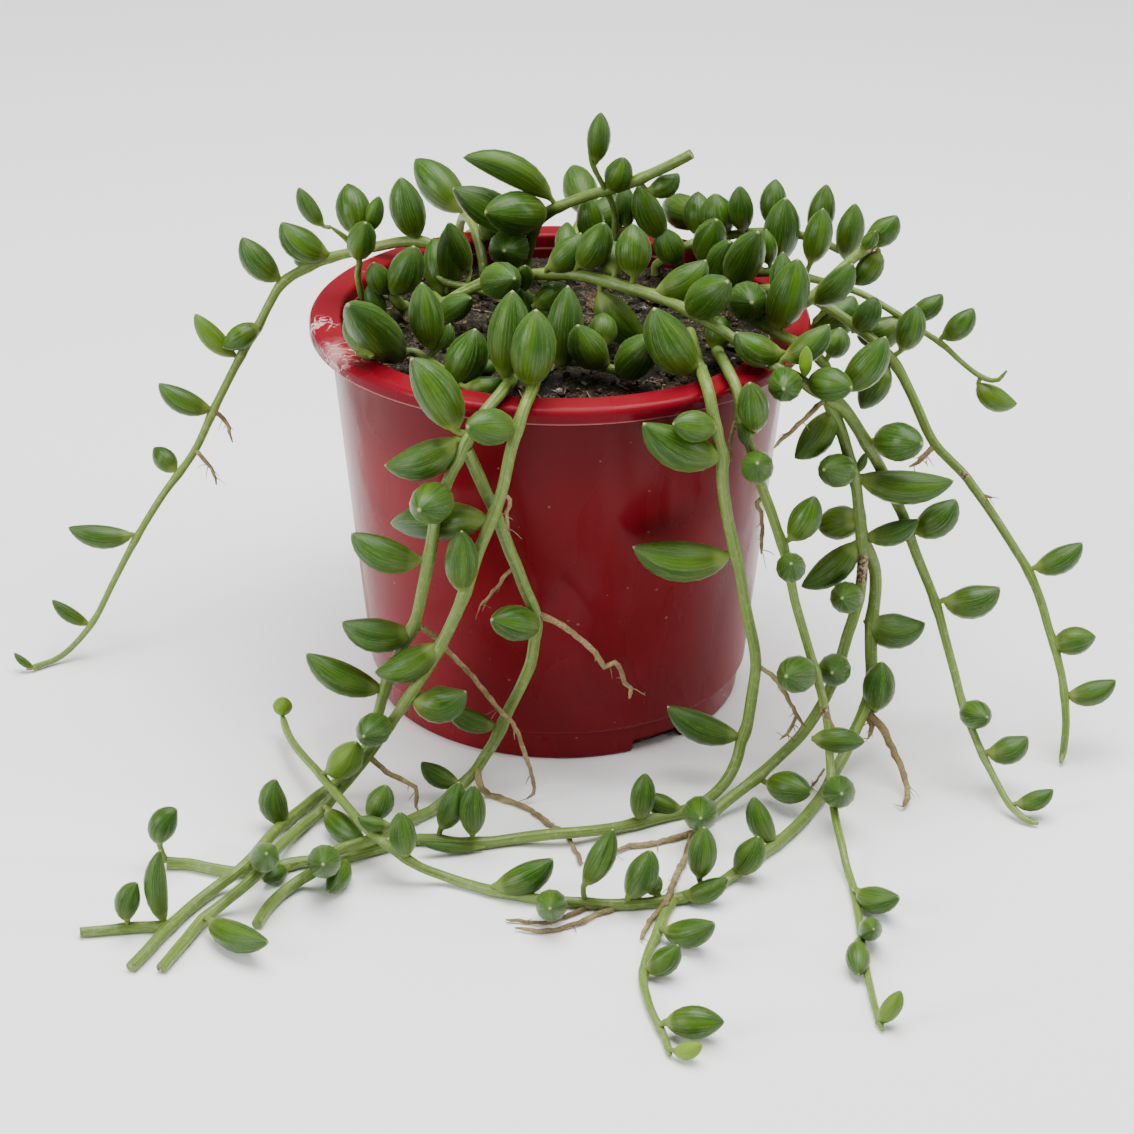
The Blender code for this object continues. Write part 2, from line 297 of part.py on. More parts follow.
# The roots: the stem they grow from, their thickness at both ends, and their points.
ROOTS = [
    ("far_left", 1.1, 0.7, hang(-22.5, -22, (-70.3, 59.2), (-69.4, 58.6), (-67.5, 56.4), (-66.5, 52.2))),
    ("far_left", 1.1, 0.7, hang(-19, -18, (-74.6, 50.2), (-73.8, 50), (-72.2, 48.1), (-70.6, 45.3),
                                (-70.2, 42.6))),
    ("front_left", 1.3, 0.8, hang(52.3, 55.2, (-29.8, 10.8), (-26, 8), (-23.5, 5), (-20, 1), (-17, -3), (-14, -7),
                                  (-11.5, -10.5), (-9.5, -13), (-8, -16), (-7, -20), (-5.5, -25), (-4.8, -28.5),
                                  (-5, -30), (-6.5, -31.4))),
    ("front_left_fork", 0.9, 0.7, hang(50, 50, (-8.6, 24.6), (-11, 22.5), (-12, 20.5), (-13.5, 18.5),
                                       (-16.3, 15.2))),
    ("front_left_fork", 1.5, 0.9, hang(50, 50, (-4.8, 13.6), (0, 11.3), (4, 8.3), (6.5, 6), (8.5, 3.5), (10, 1),
                                       (12, 2), (13.5, 0), (14.3, -3), (15.5, -4), (15.3, -6.5))),
    ("front_left_fork", 1.4, 0.9, [at(-17, -23.8, 51), at(-16.5, -28, 54)]
     + lie(0.6, (-14.5, -30.5), (-11, -31.8), (-7, -33.3), (-4, -35.5), (-1, -38), (2, -40), (3.5, -43), (5, -46),
           (5.3, -48))),
    ("front_inner", 0.9, 0.7, hang(55.5, 55.5, (-11.6, 41), (-9.9, 39.5), (-10.7, 37), (-10.3, 33))),
    ("front_inner", 1.3, 0.8, hang(58, 59.7, (-40.4, -21), (-36.5, -25), (-33, -27), (-30.5, -28.5), (-30, -30.5),
                                   (-30.3, -33.5), (-29.7, -34.8))),
    ("front_right", 1.2, 0.8, hang(45, 47.5, (41.8, 1.8), (45, -0.5), (47, -3), (48.5, -5.5), (50, -8.5),
                                   (51.3, -11), (53, -13.2))),
    ("front_right", 0.8, 0.6, hang(46.8, 47.4, (50.9, -10.4), (49.5, -14), (47.5, -16.4))),
    ("right_long", 0.9, 0.7, hang(42.5, 42.5, (36.8, 60), (35.3, 56), (34.9, 53), (35.5, 49.5))),
    ("right_long", 1.0, 0.7, hang(43, 43, (42.4, 41), (40.8, 39.5), (41.5, 37.5), (42, 35), (42, 31),
                                  (42, 27.7))),
    ("right_long", 1.2, 0.9, hang(49, 51, (57, -9.5), (58.3, -13), (60, -16), (61, -18))),
    ("over_crown", 1.2, 0.8, hang(31.5, 40.5, (54, 62.5), (52, 61), (50, 58.5), (46, 54.5), (43.8, 51.8))),
    ("right_middle", 1.5, 0.9, [on(32.6, -36.9, T)]
     + lie(0.75, (30, -39.5), (25, -41), (20, -42.5), (16, -43), (12.5, -44.8))),
    ("right_middle", 1.6, 1.0, lie(0.85, (29.5, -40.2), (28, -46), (26.5, -50))
     + lie(2.6, (25, -54.5), (24, -57.5)) + lie(0.85, (21.5, -61), (20, -64), (18.8, -67))),
    ("front_low", 1.1, 0.8, lie(0.7, (13, -58), (12, -59.5), (9, -60.5), (6, -62.5), (2, -64), (-3, -65),
                                (-9, -64.3))),
    ("front_low", 1.0, 0.7, lie(0.6, (8, -57.8), (4, -60.3), (0, -62), (-3, -63), (-8, -62.4), (-11, -62.2))),
    ("front_low", 1.8, 1.1, hang(38.5, 57, (65.4, -8.7), (69, -13), (71, -17), (73, -21), (74.5, -25), (75.3, -28),
                                 (75.5, -30.5), (74.8, -32.6))),
    ("front_low", 1.4, 1.0, hang(38.6, 42, (65.2, -9.2), (67, -13), (66.3, -16))),
    ("far_right", 1.3, 0.9, hang(11, 12, (76.6, 52.7), (75.5, 51.5), (74, 49.5), (71.5, 47.8))),
    ("far_right", 1.2, 1.0, hang(14.6, 15, (86.2, 41.6), (89, 41))),
]

# The two stems behind the pot carry leaves by rule: one every so often, each turned on from the last.
BEHIND = {"back_trail": 16.0, "back_hang": 15.0}
TURN_ON = 2.4
LEAF_LENGTHS = (12.5, 17.0)
LEAF_SPACINGS = (8.0, 11.5)
STALK = 1.6

# A leaf bends up by this share of its length, and one seen end on takes its length from its width.
ARCH = 0.3
WIDTH_SHARE = 0.56

NODES = {
    "stem_far_left": ["far_left"],
    "stem_left_side": ["left_side"],
    "stem_front_left": ["front_left", "front_left_fork", "front_left_end"],
    "stem_front_inner": ["front_inner"],
    "stem_front_right": ["front_right"],
    "stem_right_long": ["right_long"],
    "stem_over_crown": ["over_crown", "right_middle", "right_outer", "front_low", "front_foot"],
    "stem_far_right": ["far_right"],
    "stem_right_bud": ["right_bud"],
    "stem_top": ["top_cut", "top_shoot"],
    "stem_back_right": ["back_right"],
    "stem_right_pair": ["right_pair", "right_pair_fork"],
    "stem_crown_left": ["crown_left"],
    "stem_crown_back": ["crown_back"],
    "stem_crown_middle": ["crown_middle"],
    "stem_crown_sprig": ["crown_sprig"],
    "stem_left_middle": ["left_middle"],
    "stem_back_trail": ["back_trail"],
    "stem_back_hang": ["back_hang"],
}
NODE_OF = {strand: node for node, strands in NODES.items() for strand in strands}
THICKNESS = {
    "far_left": (2.5, 1.2), "far_right": (2.4, 1.6), "right_long": (2.5, 1.3), "right_outer": (2.6, 1.3),
    "front_low": (2.6, 1.6), "front_foot": (2.2, 1.2), "right_bud": (2.2, 1.0), "front_left_end": (2.2, 1.9),
    "top_shoot": (1.9, 1.0), "left_side": (1.9, 1.0), "crown_sprig": (1.8, 1.2),
    "right_pair_fork": (2.3, 1.9),
    "back_right": (2.2, 1.6), "back_trail": (2.3, 1.5), "back_hang": (2.3, 1.4), "crown_middle": (2.0, 1.6),
    "crown_back": (2.0, 1.5), "crown_left": (2.3, 1.6),
}
ROOTED = [name for name, points in STRANDS.items() if abs(points[0][2] - 75) < 0.01]


def thickness(strand):
    return THICKNESS.get(strand, (STEM_THICK, STEM_END))


def body_radius(height):
    return BODY_RADIUS_LOW + BODY_FLARE * (height - FOOT_HEIGHT)


def smooth(points, step):
    """A curve through the points, with one about every step."""
    run = np.array(points, float)
    run = np.vstack([2 * run[0] - run[1], run, 2 * run[-1] - run[-2]])
    curve = []
    for a, b, c, d in zip(run[:-3], run[1:-2], run[2:-1], run[3:]):
        count = max(1, int(round(np.linalg.norm(c - b) / step)))
        for t in np.arange(count) / count:
            bend = (2 * a - 5 * b + 4 * c - d) * t * t + (3 * b - a - 3 * c + d) * t ** 3
            curve.append(0.5 * (2 * b + (c - a) * t + bend))
    curve.append(run[-2])
    curve = np.array(curve)
    curve[:, 2] = np.maximum(curve[:, 2], min(LYING, float(run[1:-1, 2].min())))
    return curve


def thin(curve, tolerance):
    """The curve with only the points that its shape needs."""
    first, last = curve[0], curve[-1]
    along = last - first
    reach = max(float(np.linalg.norm(along)), 1e-9)
    off = np.linalg.norm(np.cross(curve - first, along / reach), axis=1)
    worst = int(np.argmax(off))
    if len(curve) < 3 or off[worst] < tolerance:
        return np.array([first, last])
    return np.vstack([thin(curve[:worst + 1], tolerance)[:-1], thin(curve[worst:], tolerance)])


def stem_points(strand):
    points = list(STRANDS[strand])
    if strand in ROOTED:
        x, y, _ = points[0]
        points = [(x, y, SOIL_TOP - ROOTING_DEPTH), (x, y, SOIL_TOP - 0.6), (x, y, SOIL_TOP + 1.6)] + points[1:]
    return points


def seen_at(points):
    """Where points show on the upright plane, and how far forward of it they are."""
    share = EYE[1] / (EYE[1] - points[..., 1])
    plane = EYE + (points - EYE) * share[..., None]
    return plane[..., 0], plane[..., 2], -points[..., 1]


def in_space(across, up, forward):
    share = (1 - forward / -EYE[1])[..., None]
    plane = np.stack([across, np.zeros_like(across), up], -1)
    return EYE + (plane - EYE) * share


def girth(share):
    """A leaf's radius along its length, as a share of its largest."""
    return np.sin(np.pi * np.clip(share, 0, 1) ** 0.85) ** 0.8


def solid_distance(points):
    """How far points lie outside the pot, the soil and the table."""
    around, height = np.hypot(points[..., 0], points[..., 1]), points[..., 2]
    wall = np.abs(around - body_radius(height) + WALL / 2) - WALL / 2
    body = np.where(height < SOIL_TOP, around - body_radius(height), wall)
    body = np.where(height > SKIRT_BOTTOM, 99.0, body)
    middle, half = (LIP_RADIUS + LIP_INNER) / 2, (LIP_RADIUS - LIP_INNER) / 2
    rise, half_rise = (POT_HEIGHT + SKIRT_BOTTOM - 2) / 2, (POT_HEIGHT - SKIRT_BOTTOM + 2) / 2
    across, above = np.abs(around - middle) - half, np.abs(height - rise) - half_rise
    lip = np.where((across < 0) & (above < 0), np.maximum(across, above),
                   np.hypot(np.maximum(across, 0), np.maximum(above, 0)))
    soil = np.where(around < LIP_INNER + 0.5, height - SOIL_TOP, 99.0)
    return np.minimum(np.minimum(body, lip), np.minimum(soil, height))


# Each leaf and stem is stood in for by spheres while the leaves are moved apart; a leaf's are at these shares.
STATIONS = np.array([-0.5, 0.0, 0.2, 0.42, 0.64, 0.84, 0.97])


class Leaf:
    """One leaf, as it shows and as it stands in space."""

    def __init__(self, strand, path, base, tip, width, arch, forward, lean):
        self.strand, self.base, self.tip, self.width, self.arch = strand, base, tip, width, arch
        shown = seen_at(path)
        free = (path[:, 2] > SOIL_TOP - 0.5) | (np.hypot(path[:, 0], path[:, 1]) > LIP_INNER)
        apart = np.where(free, np.hypot(shown[0] - base[0], shown[1] - base[1]), 1e9)
        nearest = int(np.argmin(apart))
        self.node = (shown[0][nearest], shown[1][nearest])
        self.neck = float(apart[nearest])
        self.rooted_at = shown[2][nearest]
        self.forward = self.rooted_at if forward is None else forward
        self.tip_forward = self.forward + lean

    def seen(self, share, base_forward, tip_forward):
        """Where the leaf's middle line shows at a share of its length."""
        (bx, by), (tx, ty) = self.base, self.tip
        reach = max(math.hypot(tx - bx, ty - by), 1e-6)
        arch = self.arch * self.width * 4 * share * (1 - share)
        across = bx + (tx - bx) * share - arch * (ty - by) / reach
        up = by + (ty - by) * share + arch * (tx - bx) / reach
        return across, up, base_forward + (tip_forward - base_forward) * share


def grow_leaves(paths):
    leaves = []
    for strand, rows in LEAVES.items():
        for row in rows:
            base, tip, width, lean = row[0:2], row[2:4], row[4], row[5]
            seen = math.hypot(tip[0] - base[0], tip[1] - base[1])
            arch = row[6] if len(row) > 6 else (-ARCH * (tip[0] - base[0]) / seen if lean == 0 else 0.0)
            if abs(lean) == 1:
                lean *= 0.9 * math.sqrt(max(width / WIDTH_SHARE, seen) ** 2 - seen ** 2)
            leaves.append(Leaf(strand, paths[strand], base, tip, width, arch, None, lean))
    draw = random.Random(11)
    for strand, start in BEHIND.items():
        path = paths[strand]
        along = np.concatenate([[0], np.cumsum(np.linalg.norm(np.diff(path, axis=0), axis=1))])
        turn = 0
        while start < along[-1] - 2:
            k = int(np.searchsorted(along, start))
            ahead = path[min(k + 1, len(path) - 1)] - path[k - 1]
            ahead /= np.linalg.norm(ahead)
            side = np.cross(ahead, [0, 0, 1.0])
            side /= np.linalg.norm(side)
            angle = TURN_ON * turn + draw.uniform(-0.3, 0.3)
            out = side * math.cos(angle) + np.cross(side, ahead) * math.sin(angle)
            clear = np.array([path[k][0] * 0.02, 1.0, 0]) if path[k][2] > 6 else np.array([0, 0, 1.0])
            out = out + 0.75 * clear + 0.35 * ahead + np.array([0, 0, 0.25])
            out /= np.linalg.norm(out)
            size = draw.uniform(*LEAF_LENGTHS) * (0.7 if start > along[-1] - 18 else 1)
            ends = np.array([path[k] + out * STALK, path[k] + out * (STALK + size)])
            (bx, tx), (by, ty), (forward, ahead_of) = seen_at(ends)
            width = size * 0.5 / (1 - forward / -EYE[1])
            leaves.append(Leaf(strand, path, (bx, by), (tx, ty), width, 0.0, forward, ahead_of - forward))
            start += draw.uniform(*LEAF_SPACINGS)
            turn += 1
    return leaves


def leaf_spheres(leaves, base_forward, tip_forward):
    places, radii = [], []
    for leaf, first, last in zip(leaves, base_forward, tip_forward):
        across, up, forward = leaf.seen(np.clip(STATIONS, 0, 1), first, last)
        across = np.where(STATIONS < 0, (leaf.base[0] + leaf.node[0]) / 2, across)
        up = np.where(STATIONS < 0, (leaf.base[1] + leaf.node[1]) / 2, up)
        forward = np.where(STATIONS < 0, (first + leaf.rooted_at) / 2, forward)
        places.append(in_space(across, up, forward))
        radii.append(np.maximum(girth(STATIONS) * leaf.width / 2 * (1 - forward / -EYE[1]), 0.45))
    return np.vstack(places), np.concatenate(radii)


def clear_by(apart, along, radii):
    """How far two spheres must part along the line of sight, and which way the first one goes."""
    ahead = np.einsum("ij,ij->i", apart, along)
    beside = np.maximum((apart ** 2).sum(1) - ahead ** 2, 0)
    need = np.sqrt(np.maximum(radii ** 2 - beside, 0)) - np.abs(ahead)
    return np.where(radii ** 2 > beside, np.maximum(need, 0), 0), np.where(ahead >= 0, 1.0, -1.0)


def settle(leaves, paths, rounds=260):
    """Leans each leaf to or from the eye until it is clear of the others, the stems, the pot and the table."""
    nodes = list(NODES)
    stem_places = np.vstack([paths[strand] for strand in STRANDS])
    stem_radii = np.concatenate([np.linspace(*thickness(strand), len(paths[strand])) / 2
                                 for strand in STRANDS])
    stem_nodes = np.concatenate([[nodes.index(NODE_OF[strand])] * len(paths[strand]) for strand in STRANDS])
    leaf_nodes = np.array([nodes.index(NODE_OF[leaf.strand]) for leaf in leaves])
    first, last = np.array([leaf.forward for leaf in leaves]), np.array([leaf.tip_forward for leaf in leaves])
    first_home, last_home = first.copy(), last.copy()
    room = 3.5 + 0.9 * np.array([leaf.neck for leaf in leaves])
    places, radii = leaf_spheres(leaves, first, last)
    owner = np.repeat(np.arange(len(leaves)), len(STATIONS))
    share = np.tile(STATIONS, len(leaves))
    near = np.linalg.norm(places[:, None] - places[None], axis=-1) < radii[:, None] + radii[None] + 16
    one, two = np.where(near & (owner[:, None] < owner[None]))
    kin = leaf_nodes[owner[one]] == leaf_nodes[owner[two]]
    keep = ~(kin & ((share[one] < 0.3) | (share[two] < 0.3)))
    one, two, kin = one[keep], two[keep], kin[keep]
    near = np.linalg.norm(places[:, None] - stem_places[None], axis=-1) < radii[:, None] + stem_radii[None] + 14
    mine, stem = np.where(near)
    own = leaf_nodes[owner[mine]] == stem_nodes[stem]
    keep = ~(own & (share[mine] < 0.5))
    mine, stem, own = mine[keep], stem[keep], own[keep]
    weight_last = np.clip(STATIONS, 0, 1)
    weight_first = 1 - weight_last
    spread = weight_first ** 2 + weight_last ** 2
    for _ in range(rounds):
        places, radii = leaf_spheres(leaves, first, last)
        sight = EYE - places
        sight /= np.linalg.norm(sight, axis=1)[:, None]
        push, hits = np.zeros(len(places)), np.zeros(len(places))
        reach = radii[one] + radii[two] + np.where(kin, -0.4, LEAF_GAP)
        need, way = clear_by(places[one] - places[two], sight[one], reach)
        np.add.at(push, one, way * need / 2)
        np.add.at(push, two, -way * need / 2)
        np.add.at(hits, one, need > 0)
        np.add.at(hits, two, need > 0)
        reach = radii[mine] + stem_radii[stem] + np.where(own, 0.0, LEAF_GAP)
        need, way = clear_by(places[mine] - stem_places[stem], sight[mine], reach)
        np.add.at(push, mine, way * need)
        np.add.at(hits, mine, need > 0)
        sunk = np.maximum(radii + LEAF_GAP - solid_distance(places), 0)
        slope = (solid_distance(places + sight * 0.4) - solid_distance(places - sight * 0.4)) / 0.8
        slope = np.where(np.abs(slope) > 0.25, slope, np.where(slope >= 0, 0.25, -0.25))
        push += np.clip(sunk / slope, -6, 6)
        hits += sunk > 0
        push = (0.8 * push / np.maximum(hits, 1)).reshape(len(leaves), len(STATIONS))
        for forward, home, weight, most, rate, pull in ((first, first_home, weight_first, 2, 0.6, 0.04),
                                                        (last, last_home, weight_last, 3, 0.8, 0.01)):
            moves = push * (weight / spread)
            largest = np.where(-moves.min(1) > moves.max(1), moves.min(1), moves.max(1))
            forward += np.clip(largest, -most, most) * rate
            forward += (home - forward) * pull
        first = np.clip(first, first_home - room, first_home + room)
    for leaf, base_forward, tip_forward in zip(leaves, first, last):
        leaf.forward, leaf.tip_forward = base_forward, tip_forward


def collection(name):
    group = bpy.data.collections.new(name)
    bpy.context.scene.collection.children.link(group)
    return group


def material(name, color, roughness):
    surface = bpy.data.materials.new(name)
    surface.use_nodes = True
    shader = surface.node_tree.nodes["Principled BSDF"]
    shader.inputs["Base Color"].default_value = (*color, 1)
    shader.inputs["Roughness"].default_value = roughness
    surface.diffuse_color = (*color, 1)
    return surface


def tube(name, points, thick_first, thick_last, sides, group):
    """A tapering tube through the points, as a mesh."""
    curve = bpy.data.curves.new(name, "CURVE")
    curve.dimensions = "3D"
    curve.bevel_depth = MM / 2
    curve.bevel_resolution = (sides - 4) // 2
    curve.use_fill_caps = True
    spline = curve.splines.new("POLY")
    spline.points.add(len(points) - 1)
    along = np.concatenate([[0], np.cumsum(np.linalg.norm(np.diff(points, axis=0), axis=1))])
    for point, place, share in zip(spline.points, points, along / along[-1]):
        point.co = (*(place * MM), 1)
        point.radius = thick_first + (thick_last - thick_first) * share
    guide = bpy.data.objects.new(name, curve)
    bpy.context.scene.collection.objects.link(guide)
    bpy.context.view_layer.update()
    mesh = bpy.data.meshes.new_from_object(guide.evaluated_get(bpy.context.evaluated_depsgraph_get()))
    bpy.data.objects.remove(guide)
    shape = bmesh.new()
    shape.from_mesh(mesh)
    bmesh.ops.remove_doubles(shape, verts=shape.verts, dist=1e-6)
    bmesh.ops.recalc_face_normals(shape, faces=shape.faces)
    shape.to_mesh(mesh)
    shape.free()
    piece = bpy.data.objects.new(name, mesh)
    group.objects.link(piece)
    return piece


def leaf_piece(name, leaf, group):
    """A leaf: a ball of few sides drawn out from the middle of its stem to its pointed tip."""
    shares = [0.25, 0.7] if leaf.width < SMALL_LEAF else [0.2, 0.5, 0.8]
    if leaf.neck > SHORT_NECK:
        shares = [0.0] + shares
    across, up, forward = leaf.seen(np.array(shares), leaf.forward, leaf.tip_forward)
    rings = in_space(across, up, forward)
    radii = np.maximum(PLUMP * girth(np.array(shares)) * leaf.width / 2 * (1 - forward / -EYE[1]), NECK_RADIUS)
    start = in_space(*(np.array([value]) for value in (*leaf.node, leaf.rooted_at)))[0]
    end = in_space(*(np.array([value]) for value in leaf.seen(1.0, leaf.forward, leaf.tip_forward)))[0]
    line = np.vstack([start, rings, end])
    shape = bmesh.new()
    sides = 6 if leaf.width > NARROW_LEAF else 5
    bmesh.ops.create_uvsphere(shape, u_segments=sides, v_segments=len(shares) + 1, radius=1)
    levels = sorted({round(vert.co.z, 4) for vert in shape.verts})
    for vert in shape.verts:
        level = levels.index(round(vert.co.z, 4))
        place = Vector(line[level])
        if 0 < level < len(line) - 1:
            axis = Vector(line[level + 1] - line[level - 1]).normalized()
            side = axis.cross(Vector((0, -1, 0.2))).normalized()
            angle = math.atan2(vert.co.y, vert.co.x)
            place += (side * math.cos(angle) + axis.cross(side) * math.sin(angle)) * radii[level - 1]
        place.z = max(place.z, TABLE_GAP)
        vert.co = place * MM
    mesh = bpy.data.meshes.new(name)
    shape.to_mesh(mesh)
    shape.free()
    piece = bpy.data.objects.new(name, mesh)
    group.objects.link(piece)
    return piece


def keep_outer_body(piece):
    """Drops loose scraps, and fills hollows that the joining has sealed, by keeping only the largest surface."""
    shape = bmesh.new()
    shape.from_mesh(piece.data)
    bmesh.ops.dissolve_degenerate(shape, edges=shape.edges, dist=1e-6)
    left, bodies = set(shape.faces), []
    while left:
        edge = [left.pop()]
        body = []
        while edge:
            face = edge.pop()
            body.append(face)
            beside = {other for side in face.edges for other in side.link_faces} & left
            left -= beside
            edge.extend(beside)
        bodies.append(body)
    bodies.sort(key=len)
    for body in bodies[:-1]:
        bmesh.ops.delete(shape, geom=body, context="FACES")
    shape.to_mesh(piece.data)
    shape.free()


def closed(mesh):
    """Whether every edge of a mesh has two faces, which one join in a few leaves otherwise."""
    shape = bmesh.new()
    shape.from_mesh(mesh)
    whole = all(edge.is_manifold for edge in shape.edges)
    shape.free()
    return whole


def join_all(name, group):
    """One piece made by joining everything in a collection, which is then emptied."""
    pieces = list(group.objects)
    whole = pieces[0]
    whole.name = name
    bpy.context.scene.collection.objects.link(whole)
    group.objects.unlink(whole)
    union = whole.modifiers.new("join", "BOOLEAN")
    union.operation = "UNION"
    union.operand_type = "COLLECTION"
    union.collection = group
    for solver in ("EXACT", "MANIFOLD"):
        union.solver = solver
        bpy.context.view_layer.update()
        mesh = bpy.data.meshes.new_from_object(whole.evaluated_get(bpy.context.evaluated_depsgraph_get()))
        if closed(mesh):
            break
    whole.modifiers.clear()
    whole.data = mesh
    mesh.name = name
    for piece in pieces[1:]:
        bpy.data.objects.remove(piece)
    bpy.context.scene.collection.objects.unlink(whole)
    keep_outer_body(whole)
    return whole


def turned(name, profile, steps, group):
    """A round piece turned about +Z from a profile of (radius, height), outer side from top to bottom."""
    mesh = bpy.data.meshes.new(name)
    shape = bmesh.new()
    verts = [shape.verts.new((radius * MM, 0, height * MM)) for radius, height in profile]
    for a, b in zip(verts, verts[1:]):
        shape.edges.new((a, b))
    shape.to_mesh(mesh)
    shape.free()
    piece = bpy.data.objects.new(name, mesh)
    group.objects.link(piece)
    turn = piece.modifiers.new("turn", "SCREW")
    turn.steps = turn.render_steps = steps
    turn.use_merge_vertices = True
    turn.merge_threshold = 0.00001
    return piece


def cut(piece, cutters):
    knife = piece.modifiers.new("cut", "BOOLEAN")
    knife.operation = "DIFFERENCE"
    knife.solver = "EXACT"
    knife.operand_type = "COLLECTION"
    knife.collection = cutters


def make_pot(group, plastic):
    inner_low = body_radius(FLOOR) - WALL
    under_lip = POT_HEIGHT - LIP_THICK
    skirt_inside = LIP_RADIUS - SKIRT_THICK
    profile = [(0, FLOOR), (inner_low - 1.5, FLOOR), (inner_low - 0.4, FLOOR + 0.5), (inner_low, FLOOR + 2),
               (LIP_INNER, POT_HEIGHT - 4), (LIP_INNER, POT_HEIGHT - 0.5), (LIP_INNER + 0.6, POT_HEIGHT),
               (LIP_RADIUS - 1.4, POT_HEIGHT), (LIP_RADIUS - 0.4, POT_HEIGHT - 0.5),
               (LIP_RADIUS, POT_HEIGHT - 1.5), (LIP_RADIUS, SKIRT_BOTTOM), (skirt_inside, SKIRT_BOTTOM),
               (skirt_inside, under_lip + 0.5), (skirt_inside - 0.7, under_lip),
               (body_radius(SKIRT_BOTTOM), under_lip), (body_radius(FOOT_HEIGHT), FOOT_HEIGHT),
               (BODY_RADIUS_LOW - 0.7, FOOT_HEIGHT - 0.4), (FOOT_RADIUS, 0.6), (FOOT_RADIUS - 0.5, 0), (0, 0)]
    pot = turned("pot", profile, POT_STEPS, group)
    pot.data.materials.append(plastic)
    notches = collection("pot notches")
    for k in range(DRAIN_COUNT):
        angle = DRAIN_TURN + k * math.tau / DRAIN_COUNT
        bpy.ops.mesh.primitive_cube_add(size=1)
        notch = bpy.context.object
        notch.name = f"notch_{k}"
        notch.scale = (DRAIN_DEPTH * MM, DRAIN_WIDTH * MM, 2 * DRAIN_HEIGHT * MM)
        notch.location = (DRAIN_RADIUS * MM * math.cos(angle), DRAIN_RADIUS * MM * math.sin(angle), 0)
        notch.rotation_euler.z = angle
        move_to(notch, notches)
    cut(pot, notches)
    return pot


def move_to(piece, group):
    for old in list(piece.users_collection):
        old.objects.unlink(piece)
    group.objects.link(piece)
    piece.hide_render = True
    piece.display_type = "WIRE"


def make_soil(group, earth):
    """The soil fills the pot, a little proud in the middle, with a plain hole for each stem."""
    low = body_radius(FLOOR) - WALL - SOIL_GAP
    base = FLOOR + SOIL_GAP
    rim = LIP_INNER - SOIL_GAP - 0.2
    profile = [(0, SOIL_TOP), (20, SOIL_TOP - 0.1), (38, SOIL_TOP - 0.5), (rim, SOIL_TOP - 1.4),
               (rim, POT_HEIGHT - 8), (low - 0.2, base + 2.2), (low - 1.8, base), (0, base)]
    soil = turned("soil", profile, SOIL_STEPS, group)
    soil.data.materials.append(earth)
    holes = collection("soil holes")
    for strand in ROOTED:
        x, y, _ = STRANDS[strand][0]
        deep = SOIL_TOP - ROOTING_DEPTH - SOIL_GAP
        wide = thickness(strand)[0] / 2 + HOLE_MARGIN
        middle = (x * MM, y * MM, (deep + HOLE_LENGTH / 2) * MM)
        bpy.ops.mesh.primitive_cylinder_add(vertices=HOLE_SIDES, radius=wide * MM, depth=HOLE_LENGTH * MM,
                                            location=middle)
        hole = bpy.context.object
        hole.name = f"hole_{strand}"
        move_to(hole, holes)
    cut(soil, holes)
    return soil


def make_stem(name, strands, paths, leaves, group, green):
    """One leafy stem: its strands, roots and leaves joined in one piece."""
    parts = collection(f"{name} parts")
    for strand in strands:
        points = thin(paths[strand], STRAIGHTNESS)
        tube(strand, points, *thickness(strand), 6, parts)
    for k, (strand, first, last, points) in enumerate(ROOTS):
        if strand in strands:
            tube(f"root_{k}", thin(np.array(points), STRAIGHTNESS), first, last, 4, parts)
    for k, leaf in enumerate(leaves):
        if leaf.strand in strands:
            leaf_piece(f"leaf_{k}", leaf, parts)
    whole = join_all(name, parts)
    bpy.data.collections.remove(parts)
    group.objects.link(whole)
    whole.data.materials.clear()
    whole.data.materials.append(green)
    return whole


def main():
    for old in list(bpy.data.objects):
        bpy.data.objects.remove(old)
    plant = collection("potted string of watermelons")
    red = material("red plastic", (0.42, 0.012, 0.02), 0.3)
    earth = material("dark soil", (0.03, 0.02, 0.014), 0.95)
    green = material("succulent green", (0.13, 0.24, 0.05), 0.45)
    make_pot(plant, red)
    make_soil(plant, earth)
    paths = {strand: smooth(stem_points(strand), 1.5) for strand in STRANDS}
    leaves = grow_leaves(paths)
    settle(leaves, paths)
    for name, strands in NODES.items():
        make_stem(name, strands, paths, leaves, plant, green)


main()
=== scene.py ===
# %% [markdown]
# # A potted string of watermelons
#
# A string of watermelons is a trailing succulent. Its thin stems spill over the lip of the pot and lie on
# the table, and each leaf is a plump bead with a pointed tip, fine lengthwise lines and a clear window of
# tissue. The plain solids of the plant are loaded first, and stay in place as the frame. Every step after
# that makes one piece or one finish that covers them: the pot, the soil, the stems, the leaves and the
# roots.

# %% Load the plain solids
import math
import random

import bpy
import numpy as np
from mathutils import Matrix, Vector


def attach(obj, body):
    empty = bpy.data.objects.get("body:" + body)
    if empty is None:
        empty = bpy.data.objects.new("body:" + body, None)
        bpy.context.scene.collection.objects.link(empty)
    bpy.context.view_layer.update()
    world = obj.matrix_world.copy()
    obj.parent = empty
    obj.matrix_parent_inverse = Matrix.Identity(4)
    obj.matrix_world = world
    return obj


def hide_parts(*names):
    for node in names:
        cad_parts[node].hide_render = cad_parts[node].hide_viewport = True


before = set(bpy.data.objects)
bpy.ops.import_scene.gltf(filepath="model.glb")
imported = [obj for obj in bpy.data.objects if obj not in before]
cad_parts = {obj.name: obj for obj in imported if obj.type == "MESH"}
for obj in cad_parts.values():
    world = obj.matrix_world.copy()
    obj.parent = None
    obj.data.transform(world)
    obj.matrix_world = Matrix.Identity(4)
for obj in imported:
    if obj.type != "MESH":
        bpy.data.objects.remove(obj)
bpy.ops.object.select_all(action="DESELECT")
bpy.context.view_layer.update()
MM = 0.001

